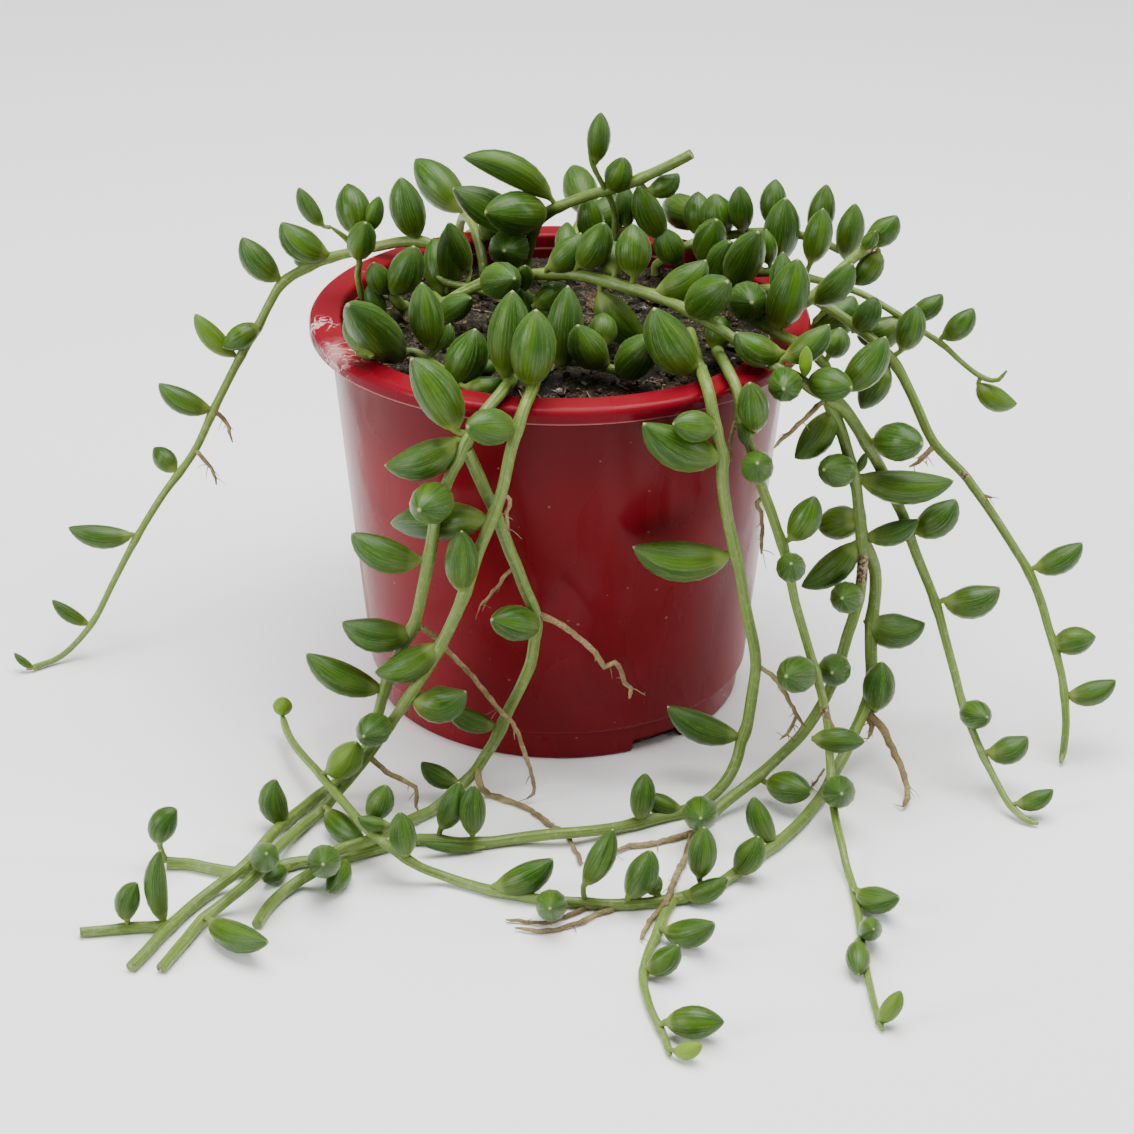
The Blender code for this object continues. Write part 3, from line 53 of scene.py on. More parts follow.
# %% [markdown]
# ## The camera
#
# The photograph looks down on the pot by about 26 degrees, from a little over half a metre away. A lens
# of about 100 mm keeps the pot's sides nearly parallel, as a product photograph does. The camera is built
# at the origin looking down, tipped up to the view, and then moved back along its own line of sight.

# %% Set up the camera
AIM_HEIGHT = 24.4 * MM
CAMERA_AWAY = 650 * MM
CAMERA_ABOVE = math.radians(26.31)
CAMERA_PAN = math.radians(-0.16)
CAMERA_ROLL = math.radians(-0.41)
CAMERA_LENS = 99.42

bpy.ops.object.camera_add()
camera = bpy.context.object
camera.name = "front_camera"
camera.data.lens = CAMERA_LENS
tipped = Matrix.Rotation(math.pi / 2 - CAMERA_ABOVE, 4, "X")
back = Vector((0, -math.cos(CAMERA_ABOVE), math.sin(CAMERA_ABOVE))) * CAMERA_AWAY
turned = Matrix.Rotation(CAMERA_PAN, 4, "Y") @ Matrix.Rotation(-CAMERA_ROLL, 4, "Z")
camera.matrix_world = Matrix.Translation(back + Vector((0, 0, AIM_HEIGHT))) @ tipped @ turned
bpy.context.scene.camera = camera
print("the camera stands at", [round(place, 3) for place in camera.matrix_world.translation])

# %% [markdown]
# ## Floor and light
#
# The plant was photographed on white, under large soft lamps. A wide pale floor and a bright, even sky
# give the white ground. One big lamp overhead puts the pale sheen on the top of every leaf, one on the
# left lays a broad, faint reflection on the pot, and a narrow one on the right brightens its other side.

# %% Lay the floor
FLOOR_SIZE = 6
FLOOR_BACK = 1.2
FLOOR_WHITE = (0.92, 0.92, 0.92, 1)
FLOOR_ROUGHNESS = 0.8

bpy.ops.mesh.primitive_plane_add(size=FLOOR_SIZE, location=(0, FLOOR_BACK, 0))
floor = bpy.context.object
floor.name = "studio_floor"
floor_paint = bpy.data.materials.new("floor paint")
floor_paint.use_nodes = True
floor_shader = floor_paint.node_tree.nodes["Principled BSDF"]
floor_shader.inputs["Base Color"].default_value = FLOOR_WHITE
floor_shader.inputs["Roughness"].default_value = FLOOR_ROUGHNESS
floor.data.materials.append(floor_paint)
print("floor:", FLOOR_SIZE, "m across")

# %% Hang the lamps and light the sky
LAMP_AIM = Vector((0, 0, 0.05))
SKY_WHITE = (1, 1, 1, 1)
SKY_STRENGTH = 0.27
LAMPS = {
    "overhead_lamp": {"place": (0.05, 0.05, 0.9), "size": (0.9, 0.7), "watts": 20.0},
    "left_lamp": {"place": (-0.8, -0.5, 0.45), "size": (0.4, 0.6), "watts": 9.0},
    "right_lamp": {"place": (0.8, -0.15, 0.45), "size": (0.14, 0.7), "watts": 3.2},
}

for name, lamp in LAMPS.items():
    bpy.ops.object.light_add(type="AREA", location=lamp["place"])
    light = bpy.context.object
    light.name = name
    light.data.shape = "RECTANGLE"
    light.data.size, light.data.size_y = lamp["size"]
    light.data.energy = lamp["watts"]
    towards = LAMP_AIM - Vector(lamp["place"])
    light.rotation_euler = towards.to_track_quat("-Z", "Y").to_euler()

sky = bpy.data.worlds.new("white studio")
sky.use_nodes = True
glow = sky.node_tree.nodes["Background"].inputs
glow["Color"].default_value = SKY_WHITE
glow["Strength"].default_value = SKY_STRENGTH
bpy.context.scene.world = sky
print("lamps:", ", ".join(LAMPS))

# %% [markdown]
# ## Tools for the finishes
#
# Every material here is a small tree of nodes. The effects are built once, as node groups: a soft
# mottling, lines that run along a leaf or a stem, and scattered specks. A leaf's and a stem's pattern
# follows its surface, so those groups read the piece's own UV map.

# %% Add a node, and link or set its inputs
def feed(tree, socket, value):
    """Links an output to a socket, or sets the socket's own value."""
    if isinstance(value, bpy.types.NodeSocket):
        tree.links.new(value, socket)
    else:
        socket.default_value = value


def add_node(tree, kind, inputs=(), **settings):
    """Adds a node. inputs pairs an input's name or number with its value, or the output that feeds it."""
    made = tree.nodes.new(kind)
    for name, value in settings.items():
        setattr(made, name, value)
    for name, value in inputs:
        feed(tree, made.inputs[name], value)
    return made


def new_group(name, inputs, output):
    """Starts a node group. inputs gives each input's default, or None for a vector."""
    group = bpy.data.node_groups.new(name, "ShaderNodeTree")
    for label, default in inputs.items():
        kind = "NodeSocketVector" if default is None else "NodeSocketFloat"
        socket = group.interface.new_socket(name=label, in_out="INPUT", socket_type=kind)
        if default is not None:
            socket.default_value = default
    group.interface.new_socket(name=output, in_out="OUTPUT", socket_type="NodeSocketFloat")
    given = group.nodes.new("NodeGroupInput").outputs
    return group, given, group.nodes.new("NodeGroupOutput").inputs[output]


def use_group(tree, group, **inputs):
    """Places a group, feeds its named inputs and gives its output."""
    return add_node(tree, "ShaderNodeGroup", inputs.items(), node_tree=group).outputs[0]


def ramp(tree, value, low, high, start=0.0, end=1.0):
    """Turns low..high of a value smoothly into start..end."""
    reach = [("From Min", low), ("From Max", high), ("To Min", start), ("To Max", end)]
    return add_node(tree, "ShaderNodeMapRange", [("Value", value), *reach],
                    interpolation_type="SMOOTHSTEP").outputs["Result"]


def math_node(tree, operation, first, second=0.0):
    return add_node(tree, "ShaderNodeMath", [(0, first), (1, second)], operation=operation).outputs[0]


def multiply(tree, first, second):
    return math_node(tree, "MULTIPLY", first, second)


def off_by(tree, value, middle):
    """How far a value is from a middle one, either way."""
    return math_node(tree, "ABSOLUTE", math_node(tree, "SUBTRACT", value, middle))


def noise(tree, where, scale, detail):
    return add_node(tree, "ShaderNodeTexNoise",
                    [("Vector", where), ("Scale", scale), ("Detail", detail)]).outputs["Fac"]


def bump(tree, height, distance, strength=1.0):
    return add_node(tree, "ShaderNodeBump",
                    [("Height", height), ("Distance", distance), ("Strength", strength)]).outputs["Normal"]


# %% Mix two colours, and start a finish
def color(red, green, blue):
    return (red, green, blue, 1.0)


def mix(tree, share, first, second, blend="MIX"):
    mixer = add_node(tree, "ShaderNodeMix", data_type="RGBA", blend_type=blend)
    factor, one, two = mixer.inputs[0], mixer.inputs[6], mixer.inputs[7]
    feed(tree, factor, share)
    feed(tree, one, first)
    feed(tree, two, second)
    return mixer.outputs[2]


def new_finish(name, **values):
    """A material with its Principled shader's plain values set, and the tree and shader to build on."""
    finish = bpy.data.materials.new(name)
    finish.use_nodes = True
    shader = finish.node_tree.nodes["Principled BSDF"]
    for label, value in values.items():
        shader.inputs[label.replace("_", " ")].default_value = value
    return finish, finish.node_tree, shader


def own_place(tree):
    """Where a point is, in its piece's own coordinates."""
    return add_node(tree, "ShaderNodeTexCoord").outputs["Object"]


def own_uv(tree):
    return add_node(tree, "ShaderNodeUVMap", uv_map="UVMap").outputs["UV"]


def own_tone(tree):
    """The three values that a piece keeps with its points, as Red, Green and Blue."""
    tone = add_node(tree, "ShaderNodeAttribute", attribute_name="tone").outputs["Color"]
    return add_node(tree, "ShaderNodeSeparateColor", [(0, tone)]).outputs


# %% Group: soft mottling
MOTTLING_INPUTS = {"Vector": None, "Scale": 50.0, "Low": 0.35, "High": 0.65}

mottling, given, mask = new_group("mottling", MOTTLING_INPUTS, "Mask")
cloud = noise(mottling, given["Vector"], given["Scale"], 4.0)
mottling.links.new(ramp(mottling, cloud, given["Low"], given["High"]), mask)
print("mottling:", len(mottling.nodes), "nodes")

# %% Group: lines along a leaf or a stem
# u runs once round the piece and v along it. The pattern is read on a ring as wide as the count asks, so
# that it closes on itself, and v and a seed move the ring through the noise.
LINE_INPUTS = {"UV": None, "Count": 20.0, "Stretch": 1.0, "Seed": 0.0}

long_lines, given, drawn = new_group("lines along", LINE_INPUTS, "Lines")
uv_parts = add_node(long_lines, "ShaderNodeSeparateXYZ", [(0, given["UV"])]).outputs
angle = multiply(long_lines, uv_parts["X"], math.tau)
ring = math_node(long_lines, "DIVIDE", given["Count"], math.tau)
across = multiply(long_lines, math_node(long_lines, "COSINE", angle), ring)
aside = multiply(long_lines, math_node(long_lines, "SINE", angle), ring)
along = multiply(long_lines, uv_parts["Y"], given["Stretch"])
along = math_node(long_lines, "ADD", along, given["Seed"])
on_ring = [("X", across), ("Y", aside), ("Z", along)]
streaks = noise(long_lines, add_node(long_lines, "ShaderNodeCombineXYZ", on_ring).outputs[0], 1.0, 1.5)
long_lines.links.new(ramp(long_lines, streaks, 0.34, 0.66), drawn)
print("lines along:", len(long_lines.nodes), "nodes")

# %% Group: scattered specks
SPECK_INPUTS = {"Vector": None, "Scale": 500.0, "Size": 0.16, "Share": 0.3}

specks, given, mask = new_group("specks", SPECK_INPUTS, "Mask")
where_seen = [("Vector", given["Vector"]), ("Scale", given["Scale"])]
cells = add_node(specks, "ShaderNodeTexVoronoi", where_seen).outputs
kept = add_node(specks, "ShaderNodeSeparateColor", [(0, cells["Color"])]).outputs["Red"]
chosen = math_node(specks, "LESS_THAN", kept, given["Share"])
near = math_node(specks, "LESS_THAN", cells["Distance"], given["Size"])
specks.links.new(multiply(specks, chosen, near), mask)
print("node groups:", ", ".join(group.name for group in bpy.data.node_groups))

# %% [markdown]
# ## The pot
#
# The pot is one thin shell of red plastic, moulded in a single shot: a wall that tapers down to a stepped
# foot, and a lip that turns outward and down into a short skirt. A turned shape like this is drawn as a
# half outline, its corners are rounded with a vertex bevel, and it is spun once round the axis. The
# drainage notches are cut last, where the wall meets the floor.

# %% Draw, round and spin the pot's outline
POT_OUTLINE = [
    # radius, height and corner rounding in mm, from the middle of the floor to the middle of the underside
    (0.0, 1.5, 0.0), (37.3, 1.5, 1.5),
    # up the inside of the wall and over the lip
    (43.6, 77.8, 0.0), (43.6, 81.5, 0.9), (50.0, 81.5, 1.5),
    # the skirt under the lip
    (50.0, 78.3, 0.3), (48.9, 78.3, 0.3), (48.9, 79.6, 0.5), (46.2, 79.6, 0.3),
    # down the outside to the foot
    (39.2, 6.8, 0.5), (38.3, 6.4, 0.3), (37.5, 0.0, 0.7), (0.0, 0.0, 0.0),
]
POT_TURNS = 128
CORNER_STEPS = 5
SAME_CORNER = 0.01 * MM
SAME_POINT = 0.005 * MM


def only_select(piece):
    bpy.ops.object.select_all(action="DESELECT")
    piece.select_set(True)
    bpy.context.view_layer.objects.active = piece


def select_points(piece, wanted):
    """In edit mode, selects the points for which wanted(place) holds."""
    bpy.ops.mesh.select_mode(type="VERT")
    bpy.ops.mesh.select_all(action="DESELECT")
    bpy.ops.object.mode_set(mode="OBJECT")
    for point in piece.data.vertices:
        point.select = wanted(point.co)
    bpy.ops.object.mode_set(mode="EDIT")


def spin_outline(name, outline, turns):
    """Draws an outline of (radius, height, rounding) in mm, rounds its corners and spins it about Z."""
    bpy.ops.mesh.primitive_plane_add(size=MM)
    piece = bpy.context.object
    piece.name = name
    bpy.ops.object.mode_set(mode="EDIT")
    bpy.ops.mesh.select_all(action="SELECT")
    bpy.ops.mesh.merge(type="CENTER")
    bpy.ops.transform.translate(value=(outline[0][0] * MM, 0, outline[0][1] * MM))
    for (radius, height, _), (next_radius, next_height, _) in zip(outline, outline[1:]):
        step = ((next_radius - radius) * MM, 0, (next_height - height) * MM)
        bpy.ops.mesh.extrude_region_move(TRANSFORM_OT_translate={"value": step})
    for radius, height, rounding in outline:
        if rounding:
            corner = Vector((radius * MM, 0, height * MM))
            select_points(piece, lambda place: (place - corner).length < SAME_CORNER)
            bpy.ops.mesh.bevel(offset=rounding * MM, segments=CORNER_STEPS, affect="VERTICES")
    bpy.ops.mesh.select_all(action="SELECT")
    bpy.ops.mesh.spin(steps=turns, angle=math.tau, center=(0, 0, 0), axis=(0, 0, 1))
    bpy.ops.mesh.select_all(action="SELECT")
    bpy.ops.mesh.remove_doubles(threshold=SAME_POINT)
    bpy.ops.mesh.normals_make_consistent(inside=False)
    bpy.ops.object.mode_set(mode="OBJECT")
    return piece


pot = spin_outline("nursery_pot", POT_OUTLINE, POT_TURNS)
print("pot:", len(pot.data.polygons), "faces")

# %% Cut the drainage notches
NOTCHES = 3
NOTCH_SIZE = (6 * MM, 12 * MM, 6 * MM)
NOTCH_RADIUS = 37.4 * MM
FIRST_NOTCH = math.radians(-57)
SHARP_EDGE = math.radians(40)

for k in range(NOTCHES):
    angle = FIRST_NOTCH + k * math.tau / NOTCHES
    place = (NOTCH_RADIUS * math.cos(angle), NOTCH_RADIUS * math.sin(angle), 0)
    bpy.ops.mesh.primitive_cube_add(size=1, location=place, rotation=(0, 0, angle), scale=NOTCH_SIZE)
    notch = bpy.context.object
    only_select(pot)
    cut = pot.modifiers.new("notch", "BOOLEAN")
    cut.operation = "DIFFERENCE"
    cut.object = notch
    bpy.ops.object.modifier_apply(modifier=cut.name)
    bpy.data.objects.remove(notch)
only_select(pot)
bpy.ops.object.shade_smooth_by_angle(angle=SHARP_EDGE)
print("pot with notches:", len(pot.data.polygons), "faces")

# %% [markdown]
# Red polypropylene has a soft gloss. The lip stands clear of the soil, so light passes through it, and the
# lip is painted a brighter red, brightest at its top: painted light. The wall has dark soil right behind
# it and looks deeper, and it is painted darker towards the lip: painted shade under the lip. A thin pale
# line painted along the bottom edge of the skirt is a painted highlight. Handling has left dull smears and
# fine water marks on the wall, and the lip is scraped nearly white at the left of the front.

# %% Colour the wall and the lip, with painted shade and painted light
WALL_RED = color(0.150, 0.005, 0.009)
WALL_BLOTCH = color(0.19, 0.008, 0.016)
WALL_SHADED = color(0.070, 0.003, 0.005)
SKIRT_RED = color(0.130, 0.003, 0.010)
LIT_LIP_RED = color(0.185, 0.005, 0.012)
BLOTCH_STRENGTH = 0.45
SHADE_STRENGTH = 0.65
SHADE_FROM, SHADE_TO = 56.0 * MM, 74.0 * MM
SKIRT_FROM, SKIRT_TO = 78.0 * MM, 78.4 * MM
LIP_FROM, LIP_TO = 79.2 * MM, 81.4 * MM

red_plastic, tree, shader = new_finish("red plastic", Specular_IOR_Level=0.09)
where = own_place(tree)
height = add_node(tree, "ShaderNodeSeparateXYZ", [(0, where)]).outputs["Z"]
on_lip = ramp(tree, height, SKIRT_FROM, SKIRT_TO)
lit_top_of_lip = ramp(tree, height, LIP_FROM, LIP_TO)
blotches = use_group(tree, mottling, Vector=where, Scale=45.0, Low=0.38, High=0.7)
wall_red = mix(tree, multiply(tree, blotches, BLOTCH_STRENGTH), WALL_RED, WALL_BLOTCH)
# Painted shade: the wall is darkened towards the lip, as the shade under the lip.
shaded = multiply(tree, ramp(tree, height, SHADE_FROM, SHADE_TO), SHADE_STRENGTH)
wall_red = mix(tree, shaded, wall_red, WALL_SHADED)
# Painted light: the lip is a brighter red than the wall, brightest at its top, for the light that passes
# through the plastic.
red = mix(tree, on_lip, wall_red, mix(tree, lit_top_of_lip, SKIRT_RED, LIT_LIP_RED))
print("colours of the pot:", len(tree.nodes), "nodes")

# %% Wear the lip, paint a highlight along its edge and fleck the wall
WORN_WHITE = color(0.72, 0.45, 0.45)
LIP_EDGE_HIGHLIGHT = color(0.62, 0.22, 0.22)
FLECK_PINK = color(0.70, 0.45, 0.45)
CURL_PLACE = (-47.8 * MM, -8.0 * MM, 79.5 * MM)
CURL_REACH = 5.5 * MM
CURL_STRENGTH = 0.8
SMEAR_PLACE = (-42.0 * MM, -22.5 * MM, 79.0 * MM)
SMEAR_REACH = 9.0 * MM
FILM_STRENGTH = 0.4
FULL_WEAR = 2.0 * MM
EDGE_TOP, EDGE_BOTTOM = 78.75 * MM, 78.45 * MM
EDGE_HIGHLIGHT_STRENGTH = 0.5
FLECK_STRENGTH = 0.14


def near_to(tree, where, place, reach):
    """1 close to a place on the pot, and 0 beyond its reach."""
    away = add_node(tree, "ShaderNodeVectorMath", [(0, where), (1, place)], operation="DISTANCE")
    return ramp(tree, away.outputs["Value"], reach, FULL_WEAR)


near_curls = near_to(tree, where, CURL_PLACE, CURL_REACH)
near_smear = near_to(tree, where, SMEAR_PLACE, SMEAR_REACH)
curls = ramp(tree, off_by(tree, noise(tree, where, 330.0, 3.0), 0.5), 0.035, 0.012)
curls = multiply(tree, curls, math_node(tree, "MAXIMUM", near_curls, near_smear))
film = use_group(tree, mottling, Vector=where, Scale=190.0, Low=0.38, High=0.6)
film = multiply(tree, multiply(tree, film, near_smear), FILM_STRENGTH)
scrape = math_node(tree, "MAXIMUM", multiply(tree, curls, CURL_STRENGTH), film)
scrape = multiply(tree, scrape, on_lip)
red = mix(tree, scrape, red, WORN_WHITE)
# Painted highlight: a thin pale line along the bottom edge of the skirt.
edge_highlight = multiply(tree, ramp(tree, height, EDGE_TOP, EDGE_BOTTOM), on_lip)
red = mix(tree, multiply(tree, edge_highlight, EDGE_HIGHLIGHT_STRENGTH), red, LIP_EDGE_HIGHLIGHT)
marks = use_group(tree, specks, Vector=where, Scale=520.0, Size=0.16, Share=0.06)
red = mix(tree, multiply(tree, marks, FLECK_STRENGTH), red, FLECK_PINK)
tree.links.new(red, shader.inputs["Base Color"])
print("colours and wear of the pot:", len(tree.nodes), "nodes")

# %% Smear its gloss
SMEAR_TURN = (0.4, 0.3, 0)
SMEAR_STRETCH = (1, 1, 0.35)
SHINY, DULL = 0.20, 0.38
SCRAPE_ROUGHENS = 0.3
RIPPLE_DEPTH = 0.05 * MM

smears = add_node(tree, "ShaderNodeMapping",
                  [("Vector", where), ("Rotation", SMEAR_TURN), ("Scale", SMEAR_STRETCH)]).outputs[0]
dull = use_group(tree, mottling, Vector=smears, Scale=70.0, Low=0.42, High=0.62)
rough = ramp(tree, dull, 0.0, 1.0, SHINY, DULL)
rough = math_node(tree, "ADD", rough, multiply(tree, scrape, SCRAPE_ROUGHENS))
tree.links.new(rough, shader.inputs["Roughness"])
ripple = noise(tree, where, 120.0, 2.0)
tree.links.new(bump(tree, ripple, RIPPLE_DEPTH, 0.35), shader.inputs["Normal"])
pot.data.materials.append(red_plastic)
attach(pot, "root")
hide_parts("pot")
print("pot finished")

# %% [markdown]
# ## The soil
#
# Potting mix is crumbled peat and bark, nearly black when it is damp, with pale grains of perlite. The
# plug fills the pot from the floor up, so it also shows through the drainage notches. It starts as a flat
# round of triangles that is subdivided and roughened, and its rim is pulled down along the inside of the
# wall. Loose crumbs and grains are then strewn over it, each one a copy of one rough chip.

# %% Make the plug of soil
SOIL_HEIGHT = 76.4 * MM
SOIL_RADIUS = 43.1 * MM
SOIL_BASE = 1.8 * MM
SOIL_BASE_RADIUS = 36.6 * MM
SOIL_SIDES = 48
SOIL_CUTS = 11
GRAIN_OFFSET = 0.35 * MM
LUMP_SIZE = 6 * MM
LUMP_HEAVE = 2.6 * MM
SOIL_SHARP_EDGE = math.radians(30)

bpy.ops.mesh.primitive_circle_add(vertices=SOIL_SIDES, radius=SOIL_RADIUS, fill_type="TRIFAN",
                                  location=(0, 0, SOIL_HEIGHT))
soil = bpy.context.object
soil.name = "potting_soil"
bpy.ops.object.transform_apply(location=True)
bpy.ops.object.mode_set(mode="EDIT")
bpy.ops.mesh.select_all(action="SELECT")
bpy.ops.mesh.subdivide(number_cuts=SOIL_CUTS)
bpy.ops.transform.vertex_random(offset=GRAIN_OFFSET, seed=3)
bpy.ops.mesh.select_mode(type="EDGE")
bpy.ops.mesh.select_all(action="SELECT")
bpy.ops.mesh.region_to_loop()
down = (0, 0, SOIL_BASE - SOIL_HEIGHT)
bpy.ops.mesh.extrude_region_move(TRANSFORM_OT_translate={"value": down})
narrower = SOIL_BASE_RADIUS / SOIL_RADIUS
bpy.ops.transform.resize(value=(narrower, narrower, 1), center_override=(0, 0, 0))
bpy.ops.mesh.edge_face_add()
bpy.ops.mesh.select_all(action="SELECT")
bpy.ops.mesh.normals_make_consistent(inside=False)
bpy.ops.object.mode_set(mode="OBJECT")
lumps = bpy.data.textures.new("lumps of soil", "CLOUDS")
lumps.noise_scale = LUMP_SIZE
only_select(soil)
heave = soil.modifiers.new("heave", "DISPLACE")
heave.texture = lumps
heave.texture_coords = "LOCAL"
heave.direction = "Z"
heave.mid_level = 0.5
heave.strength = LUMP_HEAVE
bpy.ops.object.modifier_apply(modifier=heave.name)
bpy.ops.object.shade_smooth_by_angle(angle=SOIL_SHARP_EDGE)
print("soil:", len(soil.data.polygons), "faces")

# %% Strew crumbs, bark and perlite over it
CHIPS = {
    # how many, their length in mm, how thick they are for that length, and their greatest width
    "crumb": (520, (0.8, 1.9), (0.6, 1.0), 1.5 * MM),
    "bark": (70, (3.0, 6.5), (0.25, 0.5), 2.4 * MM),
    "fibre": (60, (3.0, 8.0), (0.06, 0.1), 0.35 * MM),
    "perlite": (46, (0.9, 2.3), (0.7, 1.0), 2 * MM),
}
CHIP_ROUGHNESS = 0.14
CHIP_WIDTHS = (0.3, 0.8)
CHIP_TILT = 0.5
CHIP_LIFTS = (-0.2, 0.7)
LONGEST_FOR_THICKNESS = 2.5 * MM
CLEAR_OF_WALL = 1.2 * MM


def strew(kind, count, lengths, flatness, widest, draw):
    """Copies one rough chip over the soil, and joins the copies."""
    bpy.ops.mesh.primitive_ico_sphere_add(subdivisions=1, radius=0.5)
    chip = bpy.context.object
    bpy.ops.object.mode_set(mode="EDIT")
    bpy.ops.mesh.select_all(action="SELECT")
    bpy.ops.transform.vertex_random(offset=CHIP_ROUGHNESS, seed=7)
    bpy.ops.object.mode_set(mode="OBJECT")
    copies = []
    for _ in range(count):
        copy = chip.copy()
        copy.data = chip.data.copy()
        bpy.context.collection.objects.link(copy)
        long = draw.uniform(*lengths) * MM
        out = (SOIL_RADIUS - CLEAR_OF_WALL) * math.sqrt(draw.random())
        angle = draw.uniform(0, math.tau)
        across = min(long * draw.uniform(*CHIP_WIDTHS), widest)
        thick = min(long, LONGEST_FOR_THICKNESS) * draw.uniform(*flatness)
        turn = Matrix.Rotation(draw.uniform(0, math.tau), 4, "Z")
        tilt = Matrix.Rotation(draw.uniform(-CHIP_TILT, CHIP_TILT), 4, "X")
        lift = SOIL_HEIGHT + draw.uniform(*CHIP_LIFTS) * MM
        place = Matrix.Translation((out * math.cos(angle), out * math.sin(angle), lift))
        copy.data.transform(place @ turn @ tilt @ Matrix.Diagonal((long, across, thick, 1)))
        copies.append(copy)
    bpy.data.objects.remove(chip)
    bpy.ops.object.select_all(action="DESELECT")
    for copy in copies:
        copy.select_set(True)
    bpy.context.view_layer.objects.active = copies[0]
    bpy.ops.object.join()
    heap = bpy.context.object
    heap.name = f"soil_{kind}"
    return heap


draw = random.Random(5)
heaps = {kind: strew(kind, *numbers, draw) for kind, numbers in CHIPS.items()}
print("chips:", sum(len(heap.data.polygons) for heap in heaps.values()), "faces")

# %% Finish the soil and its chips
SOIL_FINISHES = {
    # the finish, its dark and pale colours, the scale of its pattern and the depth of its grain
    "peat": ("damp peat", color(0.010, 0.008, 0.005), color(0.15, 0.115, 0.065), 260.0, 0.4 * MM),
    "crumb": ("peat crumbs", color(0.016, 0.012, 0.007), color(0.28, 0.21, 0.125), 330.0, 0.25 * MM),
    "bark": ("bark", color(0.045, 0.026, 0.014), color(0.30, 0.21, 0.12), 420.0, 0.2 * MM),
    "fibre": ("dry fibre", color(0.16, 0.10, 0.055), color(0.45, 0.35, 0.22), 420.0, 0.1 * MM),
    "perlite": ("perlite", color(0.30, 0.27, 0.23), color(0.62, 0.60, 0.56), 500.0, 0.15 * MM),
}
FINE_FOR_COARSE = 6


def soil_finish(name, dark, pale, scale, depth):
    finish, tree, shader = new_finish(name, Roughness=0.92, Specular_IOR_Level=0.25)
    where = own_place(tree)
    coarse = use_group(tree, mottling, Vector=where, Scale=scale)
    fine = use_group(tree, mottling, Vector=where, Scale=scale * FINE_FOR_COARSE, Low=0.4, High=0.7)
    tree.links.new(mix(tree, multiply(tree, coarse, fine), dark, pale), shader.inputs["Base Color"])
    tree.links.new(bump(tree, fine, depth), shader.inputs["Normal"])
    return finish


for kind, piece in {"peat": soil, **heaps}.items():
    piece.data.materials.append(soil_finish(*SOIL_FINISHES[kind]))
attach(soil, "root")
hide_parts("soil")
for heap in heaps.values():
    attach(heap, "root")
print("soil finished")

# %% [markdown]
# ## Where the stems run
#
# Each stem was followed in the photograph, from the soil to its growing end. A place is written as
# it shows on the upright plane through the pot's axis, across and up in millimetres, with its distance
# forward of that plane, or with its height over the table where the stem lies on it. From those three
# numbers the point in space follows, along one line of sight, so the same stems are right from every side
# and not only from the front. These are the same tables that the plain solids were made from.

# %% Turn a place as it shows into a point in space
EYE = np.array([0.0, -582.7, 312.5])
LYING = 1.25
SOIL_LINE = 76.8


def at(across, up, forward):
    """The point seen at (across, up), forward of the pot's axis by that much."""
    share = 1 - forward / -EYE[1]
    return tuple(EYE + (np.array([across, 0.0, up]) - EYE) * share)


def on(across, up, height):
    """The point seen at (across, up) that is height above the table."""
    share = (EYE[2] - height) / (EYE[2] - up)
    return tuple(EYE + (np.array([across, 0.0, up]) - EYE) * share)


def hang(first, last, *places):
    """A root's points, going evenly from one forward distance to another."""
    step = (last - first) / (len(places) - 1)
    return [at(across, up, first + step * k) for k, (across, up) in enumerate(places)]


def lie(height, *places):
    """A root's points along the table."""
    return [on(across, up, height) for across, up in places]


T = LYING
print("the eye stands at", *EYE, "mm")

